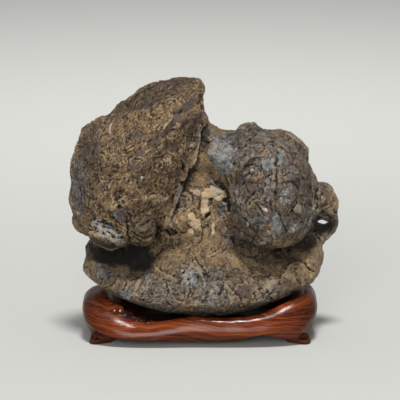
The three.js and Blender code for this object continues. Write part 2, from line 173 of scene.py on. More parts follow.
# Each stroke: kind, half-width and depth in mm, then the pixels that it runs through.
STROKES = (
    # The edge of the left lobe, over the valley
    ("ledge", 1.5, 3.0, (163, 233), (169, 221), (175, 207), (179, 195), (184, 183), (190, 170),
     (196, 158), (199, 148)),
    ("ledge", 1.3, 2.4, (198, 152), (201, 140), (202, 130), (206, 122), (207, 114)),
    ("crack", 1.0, 2.6, (181, 160), (184, 164), (188, 169)),
    ("crack", 1.2, 3.0, (190, 168), (187, 176), (184, 184)),
    ("crack", 0.9, 2.6, (176, 190), (173, 197), (170, 204)),
    ("crack", 0.8, 2.4, (201, 128), (202, 136), (200, 144)),
    # Furrows of the left lobe
    ("ledge", 1.1, 1.4, (118, 112), (126, 104), (134, 98), (140, 92), (149, 87), (160, 81)),
    ("seam", 0.9, 1.2, (128, 113), (131, 104), (137, 96)),
    ("seam", 0.8, 1.0, (160, 92), (167, 88), (172, 84)),
    ("seam", 0.8, 1.0, (178, 97), (182, 102), (185, 106)),
    ("ledge", 1.0, 1.2, (194, 150), (196, 140), (198, 130), (199, 122)),
    ("seam", 0.9, 1.2, (108, 124), (103, 130), (100, 138)),
    ("seam", 0.8, 1.1, (85, 150), (83, 160), (82, 172), (84, 184)),
    ("seam", 0.9, 1.2, (76, 176), (79, 184), (80, 192)),
    ("seam", 0.7, 1.0, (88, 198), (90, 207)),
    ("seam", 0.8, 1.0, (120, 152), (127, 149), (134, 146)),
    ("seam", 0.8, 1.1, (150, 178), (154, 184), (158, 188)),
    ("ledge", 0.9, 1.2, (166, 150), (172, 155), (178, 156)),
    ("crack", 0.9, 2.2, (104, 207), (108, 213), (113, 219), (120, 224), (124, 227)),
    ("crack", 1.0, 2.6, (127, 213), (131, 218), (133, 225)),
    ("seam", 0.7, 1.2, (93, 139), (87, 157), (83, 177)),
    ("seam", 0.7, 1.2, (101, 127), (94, 145), (90, 166)),
    ("seam", 0.7, 1.1, (79, 197), (82, 208), (89, 218)),
    ("seam", 0.7, 1.1, (121, 107), (111, 121), (105, 134)),
    ("seam", 0.7, 1.0, (150, 92), (138, 101), (129, 112)),
    # The claw and the knuckle under it
    ("crack", 1.6, 4.0, (126, 222), (127, 232), (129, 243)),
    ("crack", 1.0, 3.0, (108, 231), (112, 235), (118, 238)),
    ("crack", 0.8, 2.6, (119, 237), (123, 238), (127, 238)),
    ("crack", 0.9, 2.6, (107, 241), (111, 244), (116, 246)),
    ("seam", 0.7, 1.6, (88, 231), (93, 229), (99, 228)),
    ("seam", 0.7, 1.6, (97, 225), (104, 226), (109, 229)),
    ("ledge", 0.8, 1.2, (92, 224), (101, 219), (110, 222), (118, 229)),
    ("ledge", 0.8, 1.2, (96, 235), (104, 237), (112, 241)),
    ("crack", 1.2, 3.2, (127, 229), (133, 233), (140, 237), (147, 238), (154, 235)),
    ("crack", 0.9, 2.6, (131, 235), (137, 240), (144, 242)),
    ("crack", 0.9, 2.4, (139, 226), (145, 224), (150, 219)),
    ("crack", 0.8, 2.2, (153, 221), (153, 229)),
    # The neck and the left border of the right lobe
    ("crack", 0.7, 2.2, (200, 143), (206, 142), (214, 139)),
    ("crack", 0.9, 2.4, (200, 149), (204, 153)),
    ("crack", 1.0, 3.2, (211, 177), (216, 183), (221, 188), (226, 193)),
    ("ledge", 1.2, 2.0, (228, 217), (227, 208), (226, 198), (224, 190), (214, 180)),
    ("crack", 1.0, 2.6, (227, 196), (227, 205), (228, 213)),
    ("crack", 1.1, 2.6, (229, 219), (234, 227), (241, 232)),
    ("crack", 1.0, 2.4, (243, 233), (250, 236), (254, 242)),
    ("crack", 0.8, 2.2, (237, 200), (233, 206)),
    # The right lobe
    ("crack", 1.3, 4.0, (246, 141), (251, 137), (257, 132)),
    ("crack", 1.2, 3.6, (238, 151), (242, 147), (246, 143)),
    ("crack", 0.9, 2.4, (234, 152), (238, 145)),
    ("crack", 0.9, 2.4, (229, 163), (233, 158), (236, 154)),
    ("ledge", 1.2, 0.9, (222, 131), (236, 130), (250, 128), (262, 128), (274, 130)),
    ("ledge", 1.0, 1.4, (240, 172), (244, 164), (251, 158), (262, 156)),
    ("seam", 1.0, 1.5, (243, 186), (246, 176), (252, 168)),
    ("ledge", 1.0, 1.2, (262, 140), (274, 142), (285, 148), (294, 156)),
    ("ledge", 1.0, 1.4, (282, 132), (294, 138), (303, 147), (309, 158)),
    ("seam", 1.1, 1.6, (277, 150), (276, 168), (277, 186), (275, 206)),
    ("crack", 0.9, 1.8, (262, 160), (262, 170), (266, 177), (276, 174)),
    ("seam", 1.0, 1.5, (245, 184), (250, 192), (258, 198)),
    ("crack", 1.0, 2.2, (257, 203), (261, 209), (266, 215)),
    ("crack", 1.0, 2.0, (264, 200), (270, 205), (271, 212)),
    ("crack", 1.0, 2.4, (279, 213), (283, 222), (286, 230), (287, 237), (291, 244)),
    ("crack", 0.9, 2.2, (298, 202), (295, 208), (291, 213)),
    ("seam", 1.0, 1.4, (279, 186), (286, 182), (294, 183), (300, 190)),
    ("ledge", 0.9, 1.2, (279, 176), (288, 172), (298, 173), (306, 180)),
    ("seam", 0.9, 1.3, (247, 200), (246, 210), (250, 218)),
    ("ridge", 1.1, 1.3, (303, 152), (309, 166), (313, 182), (315, 197), (315, 213), (309, 226), (298, 238)),
    ("crack", 1.2, 2.4, (319, 184), (318, 196), (318, 208), (316, 218)),
    ("ridge", 0.9, 1.2, (317, 216), (322, 209), (331, 204)),
    ("seam", 0.7, 1.0, (323, 190), (329, 194), (332, 200)),
    ("seam", 0.7, 1.0, (331, 208), (335, 202)),
    ("seam", 0.8, 1.6, (314, 233), (320, 239), (321, 246)),
    # Rings and folds round the right lobe
    ("ledge", 0.9, 1.3, (310, 186), (306, 165), (297, 149), (284, 139), (268, 135)),
    ("ledge", 0.9, 1.2, (300, 176), (294, 161), (284, 151), (270, 146), (256, 144)),
    ("seam", 0.9, 1.6, (250, 150), (241, 157), (237, 170), (236, 184)),
    ("seam", 0.8, 1.5, (236, 184), (236, 200), (242, 215), (252, 228)),
    ("ledge", 0.9, 1.3, (226, 176), (231, 191), (232, 208)),
    ("seam", 0.8, 1.4, (262, 196), (254, 200), (246, 207)),
    ("seam", 0.9, 1.4, (306, 196), (306, 210), (300, 225), (290, 237)),
    ("ledge", 0.9, 1.3, (284, 243), (270, 245), (256, 236), (246, 223)),
    ("seam", 0.8, 1.3, (284, 203), (292, 204), (299, 198), (300, 189)),
    ("seam", 0.7, 1.2, (283, 150), (288, 160), (289, 170)),
    # The waist and the valley
    ("ledge", 1.0, 1.4, (190, 210), (193, 202), (191, 195), (186, 192), (179, 193)),
    ("seam", 0.7, 1.2, (184, 210), (190, 207), (192, 201)),
    ("seam", 0.7, 1.0, (169, 220), (174, 227), (180, 231)),
    ("crack", 0.8, 2.0, (199, 223), (205, 219), (212, 215)),
    ("seam", 0.6, 1.0, (231, 238), (226, 248), (218, 254), (206, 260)),
    ("seam", 0.6, 0.8, (173, 214), (180, 210), (189, 212), (194, 219)),
    ("seam", 0.6, 0.8, (171, 222), (173, 230), (181, 234), (190, 232)),
    ("seam", 0.6, 0.8, (178, 201), (181, 196), (187, 196), (190, 202)),
    ("ridge", 1.3, 1.8, (212, 222), (213, 230), (211, 238)),
    ("crack", 1.3, 3.0, (163, 231), (170, 236), (178, 233)),
    # The rim: the upper edge of its tongues, then its cracks
    ("ledge", 1.3, 3.2, (206, 284), (201, 269), (196, 261), (190, 266), (183, 278)),
    ("ledge", 1.2, 2.4, (184, 276), (176, 279), (168, 274), (160, 270), (153, 263)),
    ("ledge", 1.2, 2.4, (233, 292), (227, 285), (219, 280), (211, 283), (205, 283)),
    ("ledge", 1.3, 2.8, (259, 293), (252, 287), (245, 282), (238, 285), (232, 292)),
    ("ledge", 1.3, 2.6, (299, 256), (291, 266), (284, 274), (272, 283), (259, 291)),
    ("crack", 1.2, 2.8, (122, 270), (117, 276), (115, 281), (109, 286), (103, 290)),
    ("ledge", 1.1, 2.4, (150, 264), (142, 275), (137, 285), (134, 294), (134, 305)),
    ("seam", 0.8, 1.6, (128, 280), (124, 288), (120, 294)),
    ("seam", 0.7, 1.2, (146, 276), (141, 284), (138, 292)),
    ("seam", 0.7, 1.2, (153, 272), (148, 281), (144, 289)),
    ("seam", 0.7, 1.2, (102, 266), (97, 273), (93, 279)),
    ("seam", 0.7, 1.2, (111, 268), (104, 277), (99, 284)),
    ("seam", 0.8, 1.3, (136, 297), (146, 303), (160, 307), (176, 309)),
    ("crack", 0.9, 2.4, (271, 283), (274, 280), (278, 278)),
    ("crack", 0.9, 2.2, (258, 290), (262, 287), (266, 285)),
    ("crack", 1.0, 2.4, (273, 290), (269, 296), (265, 302)),
    ("crack", 0.8, 2.0, (270, 297), (275, 302), (278, 307)),
    ("crack", 1.4, 3.2, (300, 259), (305, 264), (309, 268), (316, 273)),
    ("seam", 0.9, 1.8, (294, 272), (299, 280), (300, 288)),
    ("seam", 0.8, 1.4, (240, 294), (241, 301), (244, 306)),
    ("crack", 0.8, 1.8, (252, 290), (256, 297), (256, 304)),
    ("seam", 0.7, 1.2, (188, 282), (190, 292), (186, 300)),
    ("seam", 0.7, 1.2, (164, 280), (168, 288), (166, 297)),
)

# Each lump: centre, half-sizes in pixels, turn in degrees, and how far it stands out in mm.
LUMPS = (
    # The left lobe
    ((160, 200), (9, 8), 0, 1.8), ((168, 164), (10, 8), -20, 1.8), ((143, 196), (8, 9), 10, 1.4),
    ((150, 216), (8, 7), 0, 1.5), ((128, 185), (9, 8), 0, 1.0), ((184, 150), (7, 6), -30, 1.5),
    ((171, 183), (6, 8), 10, 1.4), ((165, 222), (6, 8), 20, 1.4), ((109, 205), (8, 9), 10, 1.2),
    ((197, 106), (6, 8), 10, 1.2),
    # The claw and the knuckle
    ((104, 229), (14, 4.5), 28, 1.8), ((99, 237), (10, 4), 30, 1.2), ((118, 242), (9, 5.5), 30, 1.6),
    ((138, 219), (8, 4.5), 0, 1.5), ((140, 228), (10, 4.5), 12, 2.0), ((143, 237), (11, 4.5), 14, 1.8),
    # The right lobe
    ((254, 168), (5.5, 5), -20, 2.0), ((268, 165), (6.5, 8), 0, 1.8), ((285, 158), (8, 11), -25, 1.5),
    ((290, 176), (12, 4.5), 5, 1.8), ((268.5, 192), (5.5, 10), 4, 2.4),
    ((251, 189), (5.5, 6.5), -15, 1.8), ((253, 178), (7, 3.6), -10, 1.4),
    ((288.5, 192), (8.5, 9.5), 0, 1.6), ((288.5, 192), (4.8, 5.5), 0, 1.4),
    ((262.5, 207.5), (8, 5), 32, 2.0), ((276, 226), (7, 9), -10, 1.3), ((263, 231), (7, 9), 20, 1.3),
    ((300, 210), (6, 6), 40, 1.6), ((296, 228), (7, 8), 20, 1.4), ((246, 211), (5.5, 9), -20, 1.6),
    ((236, 199), (5, 9), -10, 1.5), ((238, 221), (6, 7), -30, 1.5), ((251, 232), (7, 6), -40, 1.4),
    ((276, 242), (9, 5), -8, 1.4), ((302, 165), (4, 14), -18, 1.2),
    # The knob
    ((328, 196), (8, 9), 10, 1.5), ((327, 211), (7, 4.5), -25, 1.4),
    # The boulder, the disc over it and the pale vein
    ((182, 221), (11, 13), 0, 2.0), ((195.5, 222), (5.5, 10), -15, 1.4), ((184, 201), (8, 7), 0, 1.3),
    ((211, 193), (14, 7), 8, 1.5), ((204, 208), (5, 9), 5, 1.2),
    # The rim
    ((216, 290), (8.5, 8.5), 0, 1.6), ((216, 290), (4.4, 5), 0, 1.3), ((244, 291), (9, 7.5), 0, 2.2),
    ((190, 275), (9, 12), -8, 2.0), ((172, 284), (8, 9), 15, 1.4), ((148, 281), (5, 15), 28, 1.8),
    ((134, 286), (4.5, 11), 26, 1.4), ((119, 280), (5.5, 10), 40, 1.6), ((104, 272), (9, 6), -42, 1.5),
    ((203, 292), (4.5, 9), 5, 1.3), ((231, 298), (5, 7), 0, 1.2), ((258, 299), (6, 6), 0, 1.3),
    ((270, 284), (9, 5.5), -35, 1.8), ((277, 297), (6, 6), -30, 1.3), ((289, 275), (8, 6), -42, 1.5),
    ((303, 271), (7, 8), -35, 1.6),
)

# Each spot: centre, half-sizes in pixels, turn in degrees, how far it stands out in mm, and what it paints.
SPOTS = (
    # Pits and pockets, painted dark as their shade, with the painted shadow under the boulder
    ((204, 108), (2.2, 3.6), 10, -5.0, {"dark": 1.0}), ((185, 169), (2.4, 4.0), 20, -5.0, {"dark": 1.0}),
    ((182, 183), (2.4, 4.0), 15, -4.0, {"dark": 0.9}), ((175, 187), (3.6, 1.5), -25, -3.5, {"dark": 1.0}),
    ((165, 210.5), (4.0, 1.6), 12, -3.5, {"dark": 1.0}),
    ((138.5, 159), (2.6, 1.2), 15, -2.5, {"dark": 1.0}), ((174, 101), (1.8, 2.6), 0, -2.2, {"dark": 1.0}),
    ((155.5, 182), (1.3, 1.3), 0, -1.8, {"dark": 1.0}), ((146, 171), (1.1, 1.3), 0, -1.6, {"dark": 1.0}),
    ((124, 203), (2.6, 1.8), -20, -3.0, {"dark": 1.0}), ((120, 208), (3.4, 1.4), 5, -3.0, {"dark": 1.0}),
    ((118, 196), (5.5, 7.0), 0, -2.0, {"rust": 0.5, "dark": 0.35}),
    ((188, 268), (1.4, 1.8), 0, -2.6, {"dark": 1.0}), ((188.5, 279), (1.1, 1.3), 0, -1.8, {"dark": 1.0}),
    ((209, 215), (3.4, 2.4), -30, -2.4, {"dark": 0.8}), ((170, 233), (7.0, 3.0), 15, -2.0, {"dark": 0.9}),
    ((202, 130), (1.6, 4.0), 10, -2.5, {"dark": 1.0}), ((225, 200), (1.8, 3.0), 0, -2.0, {"dark": 0.8}),
    # The lump in the notch
    ((205, 116), (3.4, 5.0), 20, 1.2, {"dark": 0.55}),
    # Slate edges
    ((178, 193), (2.6, 10.0), 20, 0.3, {"slate": 0.6}),
    ((198, 136), (2.8, 12.0), 5, 0.2, {"slate": 0.55}),
    # Smooth purple-brown wear
    ((187, 108), (9, 5), -38, -0.4, {"worn": 1.0}), ((176, 118), (13, 4.5), -52, -0.4, {"worn": 1.0}),
    ((167, 132), (8, 4), -45, -0.2, {"worn": 0.8}),
    # Pale and bright places: pale stone and quartz, and small white spots painted as glints
    ((169, 121), (9, 1.4), -52, 0.7, {"pale": 0.9}), ((110, 130), (5.5, 1.8), -75, 0.5, {"pale": 0.9}),
    ((190, 145), (5, 3), -60, 0.4, {"pale": 0.5}), ((171, 139), (3, 3), 0, 0.4, {"pale": 0.6}),
    ((168, 165), (9, 7), 0, 0.2, {"pale": 0.35}), ((160, 199), (8, 7), 0, 0.2, {"pale": 0.35}),
    ((141.5, 178), (1.3, 1.6), 0, 0.5, {"white": 1.0}), ((157, 125), (1.2, 1.0), 0, 0.4, {"white": 0.9}),
    ((152.5, 134), (1.3, 0.9), 40, 0.4, {"white": 0.8}), ((88, 194), (1.0, 1.6), 0, 0.4, {"white": 0.8}),
    ((121, 196), (1.2, 1.0), 0, 0.5, {"white": 1.0}), ((117.5, 190), (1.6, 0.8), 0, 0.5, {"white": 0.8}),
    ((119.5, 201), (1.0, 1.0), 0, 0.5, {"white": 0.8}),
    ((113.5, 199), (1.2, 0.9), 0, 0.4, {"white": 0.5}), ((263, 208), (5.2, 1.3), 48, 0.8, {"white": 0.9}),
    ((248, 224), (1.0, 2.4), -20, 0.6, {"white": 0.9}), ((292, 228), (1.6, 1.2), 30, 0.4, {"white": 0.6}),
    ((285, 194), (1.3, 1.3), 0, 0.4, {"white": 0.6}), ((262, 172), (1.2, 5.0), 10, 0.3, {"pale": 0.7}),
    ((252, 170), (1.6, 1.6), 0, 0.3, {"pale": 0.7}), ((298, 208), (3.0, 6.0), 30, 0.6, {"pale": 0.7}),
    ((267, 239), (5.0, 4.0), 0, 0.6, {"pale": 0.6}), ((267, 239.5), (2.2, 1.8), 0, 0.2, {"rust": 0.9}),
    ((213, 194), (13, 6), 8, 1.0, {"quartz": 1.0}), ((205, 205), (4, 11), 5, 1.0, {"quartz": 0.95}),
    ((196, 192), (7, 4), 5, 0.4, {"quartz": 0.8}), ((219, 190), (4, 3), 0, 0.6, {"white": 0.55}),
    ((195, 222), (5.5, 9), -20, 0.9, {"quartz": 0.9, "white": 0.35}),
    ((191, 231), (3.5, 2.5), 0, 0.4, {"quartz": 0.8}), ((180, 210), (6, 3), 10, 0.3, {"quartz": 0.3}),
    ((212.5, 229), (1.6, 8), 3, 0.6, {"quartz": 0.8, "white": 0.3}),
)

# Flat patches by what they paint: centre, half-sizes in pixels, turn in degrees, and strength.
TINTS = {
    "slate": (
        ((267, 193), (3.6, 9.0), 3, 0.8), ((269, 165), (6.0, 7.0), 0, 0.7),
        ((264, 209), (3.0, 4.5), -35, 0.4), ((216, 289), (6.0, 7.0), 0, 0.5),
        ((184, 201), (7.5, 7.0), 0, 0.45), ((106, 231), (17, 6.5), 30, 0.7),
        ((121, 244), (6.0, 4.0), 20, 0.95), ((119, 216), (6.5, 7.0), 0, 1.0),
        ((105, 224), (13, 4.5), 25, 0.75), ((102, 233), (10, 5.0), 25, 0.55),
        ((77, 203), (7, 16), 0, 0.4), ((84, 176), (6, 22), 8, 0.25), ((220, 150), (15, 18), -10, 1.0),
        ((226, 165), (9, 12), 20, 0.8), ((214, 122), (12, 18), 0, 0.35), ((78, 188), (9, 34), 4, 0.5),
        ((93, 150), (7, 22), 25, 0.35), ((112, 240), (18, 6), 25, 0.55), ((212, 183), (4, 5), 30, 0.7),
        ((284, 160), (9, 11), -30, 0.75), ((268, 162), (7, 9), 0, 0.45), ((277, 225), (8, 10), 0, 1.0),
        ((286, 195), (8, 9), 0, 0.5), ((292, 228), (8, 9), 0, 0.4), ((256, 214), (7, 12), 20, 0.35),
        ((222, 205), (4, 14), 0, 0.6), ((100, 270), (10, 6), -55, 0.7), ((108, 276), (8, 4), -55, 0.7),
        ((127, 293), (6, 8), 20, 0.75), ((121, 278), (5, 7), 20, 0.5), ((147, 278), (4, 14), 28, 0.5),
        ((172, 283), (12, 8), 0, 0.35), ((190, 278), (11, 9), 0, 0.65), ((203, 287), (6, 9), 0, 0.45),
        ((216, 301), (14, 7), 0, 0.45), ((232, 290), (4, 8), 0, 0.4), ((186, 201), (5, 4), 0, 0.4),
        ((262, 222), (14, 10), 0, 0.5),
    ),
    "worn": (
        ((251, 189), (5.0, 6.0), -15, 0.9), ((244, 291), (8.5, 7.0), 0, 1.0),
        ((196, 100), (5, 7), 20, 0.8), ((154, 143), (8, 5), -10, 0.7), ((141, 153), (7, 4), 0, 0.7),
        ((135, 165), (7, 5), 0, 0.8), ((176, 148), (8, 4), -10, 0.6), ((93, 148), (5, 8), 20, 0.6),
        ((198, 187), (7, 2), -12, 0.9), ((247, 190), (5, 6), 0, 0.5), ((240, 182), (5, 8), 0, 0.5),
    ),
    "dark": (
        ((244, 291), (8.5, 7.0), 0, 0.2), ((184, 201), (7.5, 7.0), 0, 0.15),
        ((214, 122), (12, 18), 0, 0.3), ((208, 168), (7, 14), 10, 0.22), ((231, 136), (14, 9), 0, 0.25),
        ((252, 232), (9, 10), 0, 0.45), ((238, 222), (9, 12), -20, 0.3), ((222, 185), (8, 4), 40, 0.3),
        ((290, 262), (10, 8), 0, 0.35), ((256, 128), (12, 5), -8, 0.4),
    ),
    "tan": (
        ((184, 221), (13, 13), 0, 0.5), ((149, 196), (36, 30), -20, 0.42),
        ((266, 264), (26, 9), -12, 0.4), ((269, 229), (20, 14), 0, 0.25), ((329, 200), (12, 20), 0, 0.6),
        ((128, 180), (12, 10), 0, 0.35), ((257, 178), (6.5, 5.0), -10, 0.4), ((200, 180), (8, 8), 0, 0.7),
        ((204, 205), (12, 22), 0, 0.5),
    ),
    "pale": (
        ((219, 152), (13, 17), -10, 0.42), ((266, 264), (26, 9), -12, 0.3),
        # The patch at (268, 233) under the right lobe is painted light, where the lobe curves under.
        ((314, 205), (1.6, 26), 2, 0.45), ((268, 233), (16, 12), 0, 0.45), ((216, 192), (11, 6), 8, 0.5),
    ),
    # A painted glint in the pit
    "white": (
        ((174.5, 100), (0.9, 0.9), 0, 1.0),
    ),
    "rust": (
        ((267, 227), (4.0, 5.0), 0, 0.9), ((257, 178), (6.5, 5.0), -10, 0.55),
        ((238, 223), (3.0, 3.0), 0, 0.6), ((278, 200), (2.0, 14.0), 0, 0.35),
    ),
}

# The strands of the surface run along these lines, in pixels of the front view.
GUIDES = (
    # The left lobe: along its outline, then inwards
    ((97, 226), (80, 208), (76, 188), (81, 165), (87, 145), (97, 126), (112, 106), (133, 92), (160, 80),
     (190, 78)),
    ((93, 206), (91, 180), (100, 150), (118, 122), (140, 104), (168, 92)),
    ((112, 200), (118, 170), (132, 146), (156, 124), (184, 104)),
    ((138, 210), (146, 182), (162, 158), (182, 136), (200, 116)),
    ((158, 214), (170, 192), (184, 168), (196, 146), (203, 122)),
    # The claw and the knuckle
    ((86, 228), (100, 232), (114, 240), (124, 249)),
    ((97, 221), (109, 224), (120, 232), (127, 240)),
    ((128, 226), (134, 235), (146, 239), (156, 235)),
    ((130, 219), (140, 225), (152, 222)),
    # The right lobe: round its outline, then its rings and folds
    ((218, 134), (240, 130), (262, 127), (286, 132), (302, 145), (311, 165), (316, 190), (315, 214),
     (304, 232), (282, 248)),
    ((228, 150), (247, 140), (270, 136), (288, 145), (300, 163), (307, 186), (304, 211), (290, 234),
     (272, 246)),
    ((224, 168), (231, 186), (230, 206), (240, 228), (258, 244)),
    ((240, 192), (243, 176), (251, 163), (264, 157)),
    ((279, 180), (288, 172), (299, 174), (307, 186)),
    ((270, 146), (270, 176), (270, 204), (277, 226)),
    ((283, 202), (281, 192), (289, 186), (298, 191), (299, 203), (290, 210)),
    ((246, 190), (255, 202), (266, 216), (278, 240)),
    ((288, 212), (294, 206), (302, 198)),
    # The knob
    ((319, 184), (330, 190), (337, 203), (333, 217), (322, 232), (318, 248)),
    # The valley and the boulder
    ((204, 170), (212, 182), (224, 196)),
    ((232, 232), (226, 250), (216, 268)),
    ((205, 236), (196, 254), (184, 272)),
    ((170, 222), (175, 211), (188, 208), (197, 218), (193, 231), (180, 234)),
    # The rim: fanning out to the left, down and to the right, then along its lower edge
    ((122, 264), (108, 274), (95, 284)),
    ((140, 268), (128, 282), (114, 294)),
    ((158, 266), (150, 282), (143, 298)),
    ((190, 262), (188, 280), (180, 296)),
    ((300, 258), (285, 274), (264, 290)),
    ((316, 262), (306, 278), (292, 292)),
    ((222, 282), (226, 292), (224, 300)),
    ((246, 284), (250, 294), (248, 302)),
    ((122, 300), (150, 309), (185, 313), (220, 313), (252, 308), (282, 297), (305, 282)),
)

# Painted shade under the overhangs and on sides turned from the light: centre, half-sizes in pixels, turn,
# strength.
SHADES = (
    ((187, 180), (3.2, 12), 22, 0.8), ((177, 205), (3.0, 12), 18, 0.6), ((205, 137), (3.6, 17), 6, 0.8),
    ((196, 165), (3.0, 12), 25, 0.7), ((88, 165), (13, 46), 8, 0.5), ((152, 92), (58, 14), -24, 0.55),
    ((143, 228), (17, 14), 5, 0.6), ((303, 190), (10, 42), 0, 0.35), ((143, 233), (15, 10), 5, 0.5),
    ((110, 283), (18, 12), 40, 0.3), ((288, 284), (22, 10), -42, 0.35), ((112, 255), (30, 12), 8, 1.0),
    ((138, 256), (19, 17), 0, 1.0), ((96, 246), (16, 9), 20, 0.8), ((272, 254), (30, 10), 8, 0.5),
    ((250, 248), (20, 7), 25, 0.45), ((324, 228), (13, 6), -15, 0.9), ((305, 243), (14, 8), -20, 0.7),
    ((292, 260), (8, 5), 0, 0.8),
)


# Rays to the eye start this far over the surface, in m, clear of the faces round their point.
RAY_START = 0.0008


def sight(mesh):
    """How squarely each point of a mesh faces the front view: 0 where it is hidden or turned away."""
    at, normal = arrays(mesh)
    way = EYE * MM - at
    way /= np.linalg.norm(way, axis=1)[:, None]
    facing = np.einsum("ij,ij->i", way, normal)
    tree = BVHTree.FromPolygons(at.tolist(), [tuple(p.vertices) for p in mesh.polygons])
    for i in np.flatnonzero(facing > 0):
        if tree.ray_cast(Vector(at[i] + normal[i] * RAY_START), Vector(way[i]))[0] is not None:
            facing[i] = 0.0
    return np.clip(facing, 0, 1)


def pixels(at):
    """Where the front view shows each point, given in mm."""
    rel = at - EYE
    depth = rel @ SIGHT
    return (
        PICTURE / 2 + SCALE * DISTANCE * rel[:, 0] / depth,
        PICTURE / 2 - SCALE * DISTANCE * (rel @ UPWARD) / depth,
    )


class Sculpt:
    """The stone's surface as arrays, with what the front view sees of it."""

    def __init__(self, mesh):
        self.mesh = mesh
        self.at = arrays(mesh)[0] / MM
        self.masks = {}
        self.find_normals()
        self.seen = ramp(sight(mesh), 0.02, 0.3)
        self.px, self.py = pixels(self.at)
        self.own = self.at - SHIFT
        # What is drawn is bent a little, so that nothing has a smooth edge.
        self.x = self.px + 1.3 * noise(self.own, 5, 31) + 0.8 * noise(self.own, 2.2, 33)
        self.y = self.py + 1.3 * noise(self.own, 5, 32) + 0.8 * noise(self.own, 2.2, 34)
        self.uneven = np.clip(0.55 + 0.8 * layered(self.own, 5, 2, 35), 0.1, 1.3)
        ends = np.empty(len(mesh.edges) * 2, np.int32)
        mesh.edges.foreach_get("vertices", ends)
        self.ends = ends.reshape(-1, 2)
        self.degree = np.maximum(np.bincount(ends, minlength=len(self.at)), 1)

    def find_normals(self):
        self.mesh.vertices.foreach_set("co", (self.at * MM).ravel())
        self.mesh.update()
        self.normal = arrays(self.mesh)[1]

    def push(self, amount):
        self.at += self.normal * amount[:, None]

    def spread(self, value, times):
        """Blurs a value over the surface, each time halfway to the mean of each point's neighbours."""
        one, other = self.ends.T
        count = len(value)
        for _ in range(times):
            total = np.bincount(one, value[other], count) + np.bincount(other, value[one], count)
            value = 0.5 * value + 0.5 * total / self.degree
        return value

    def squeeze(self, centre, reach, wide, high):
        """Makes what is near a place in the front view that many times as wide and as high."""
        dx, dy = self.px - centre[0], self.py - centre[1]
        share = np.exp(-((dx / reach[0]) ** 2) - (dy / reach[1]) ** 2) / SCALE
        self.at[:, 0] += share * dx * (wide - 1)
        self.at -= (share * dy * (high - 1))[:, None] * UPWARD
        self.px, self.py = pixels(self.at)

    def hollow(self, times):
        """How many mm each point lies under the blurred surface, less than 0 on crests."""
        soft = np.stack([self.spread(self.at[:, axis], times) for axis in range(3)], axis=1)
        return np.einsum("ij,ij->i", soft - self.at, self.normal)

    def flow(self):
        """The way that the strands run at each point, along the surface."""
        across = np.zeros(len(self.at))
        double = np.zeros(len(self.at))
        for guide in GUIDES:
            ends = np.array(guide, float)
            for (ax, ay), (bx, by) in zip(ends[:-1], ends[1:]):
                length = math.hypot(bx - ax, by - ay)
                ux, uy = (bx - ax) / length, (by - ay) / length
                t = np.clip((self.px - ax) * ux + (self.py - ay) * uy, 0, length)
                gap = np.hypot(self.px - ax - t * ux, self.py - ay - t * uy)
                weight = length / (gap + 3.0) ** 3
                # Doubled angles, as a strand that runs one way also runs the other way.
                across += weight * (ux * ux - uy * uy)
                double += weight * 2 * ux * uy
        angle = 0.5 * np.arctan2(double, across) + 0.4 * layered(self.own, 12, 2, 36)
        way = np.cos(angle)[:, None] * np.array([1.0, 0.0, 0.0]) - np.sin(angle)[:, None] * UPWARD
        square = np.einsum("ij,j->i", self.normal, SIGHT)
        square = np.where(square < 0, np.minimum(square, -0.25), np.maximum(square, 0.25))
        way -= (np.einsum("ij,ij->i", way, self.normal) / square)[:, None] * SIGHT
        return way / np.linalg.norm(way, axis=1)[:, None]

    def mask(self, name):
        return self.masks.setdefault(name, np.zeros(len(self.at)))

    def paint(self, name, amount):
        self.masks[name] = np.clip(np.maximum(self.mask(name), amount), 0, 1)

    def line(self, points):
        """For each point: pixels to the drawn line, share of the way along it, and which side it is on."""
        ends = np.array(points, float)
        lengths = np.linalg.norm(np.diff(ends, axis=0), axis=1)
        best = np.full(len(self.x), 1e9)
        along = np.zeros(len(self.x))
        side = np.zeros(len(self.x))
        done = 0.0
        for (ax, ay), (bx, by), length in zip(ends[:-1], ends[1:], lengths):
            ux, uy = (bx - ax) / length, (by - ay) / length
            t = np.clip((self.x - ax) * ux + (self.y - ay) * uy, 0, length)
            gap = np.hypot(self.x - ax - t * ux, self.y - ay - t * uy)
            cross = (self.x - ax) * uy - (self.y - ay) * ux
            closer = gap < best
            best = np.where(closer, gap, best)
            along = np.where(closer, (done + t) / lengths.sum(), along)
            side = np.where(closer, cross, side)
            done += length
        return best, along, side

    def draw(self, kind, width, depth, points):
        gap, along, side = self.line(points)
        taper = np.clip(np.sin(np.pi * np.clip(along, 0.04, 0.96)) * 1.8, 0, 1) * self.seen
        width *= SCALE
        uneven = self.uneven
        core = np.exp(-((gap / (width * (0.35 + 0.6 * uneven))) ** 2)) * taper
        if kind == "crack":
            broken = core * np.clip(0.35 + 0.8 * uneven, 0, 1)
            self.push(-depth * broken)
            # Painted shade along the crack
            self.paint("crack", broken**1.5 * min(1.0, 0.3 * depth))
        elif kind == "seam":
            self.push(-depth * core * uneven)
            self.push(0.3 * depth * np.exp(-(((gap - 2.2 * width) / width) ** 2)) * taper)
        elif kind == "ridge":
            self.push(depth * core)
            self.paint("pale", 0.35 * core * uneven)
        elif kind == "ledge":
            slope = np.exp(-gap / (3.2 * width)) * taper
            up = ramp(side, -0.5 * width, 0.5 * width)
            self.push(1.1 * depth * slope * (1.5 * up - 0.5) * (0.5 + 0.7 * uneven))
            # Painted shade at the foot of the ledge
            self.paint("crack", 0.5 * np.exp(-(((side + 0.6 * width) / (0.6 * width)) ** 2)) * core * uneven)

    def reach(self, centre, size, turn, uneven):
        """How far each point is from the middle of a drawn patch, 1 on its uneven edge."""
        angle = math.radians(turn)
        dx, dy = self.x - centre[0], self.y - centre[1]
        along = (dx * math.cos(angle) + dy * math.sin(angle)) / size[0]
        across = (-dx * math.sin(angle) + dy * math.cos(angle)) / size[1]
        edge = np.hypot(along, across)
        near = edge < 2.5
        edge[near] += uneven * layered(self.own[near], 6, 3, 41)
        return edge

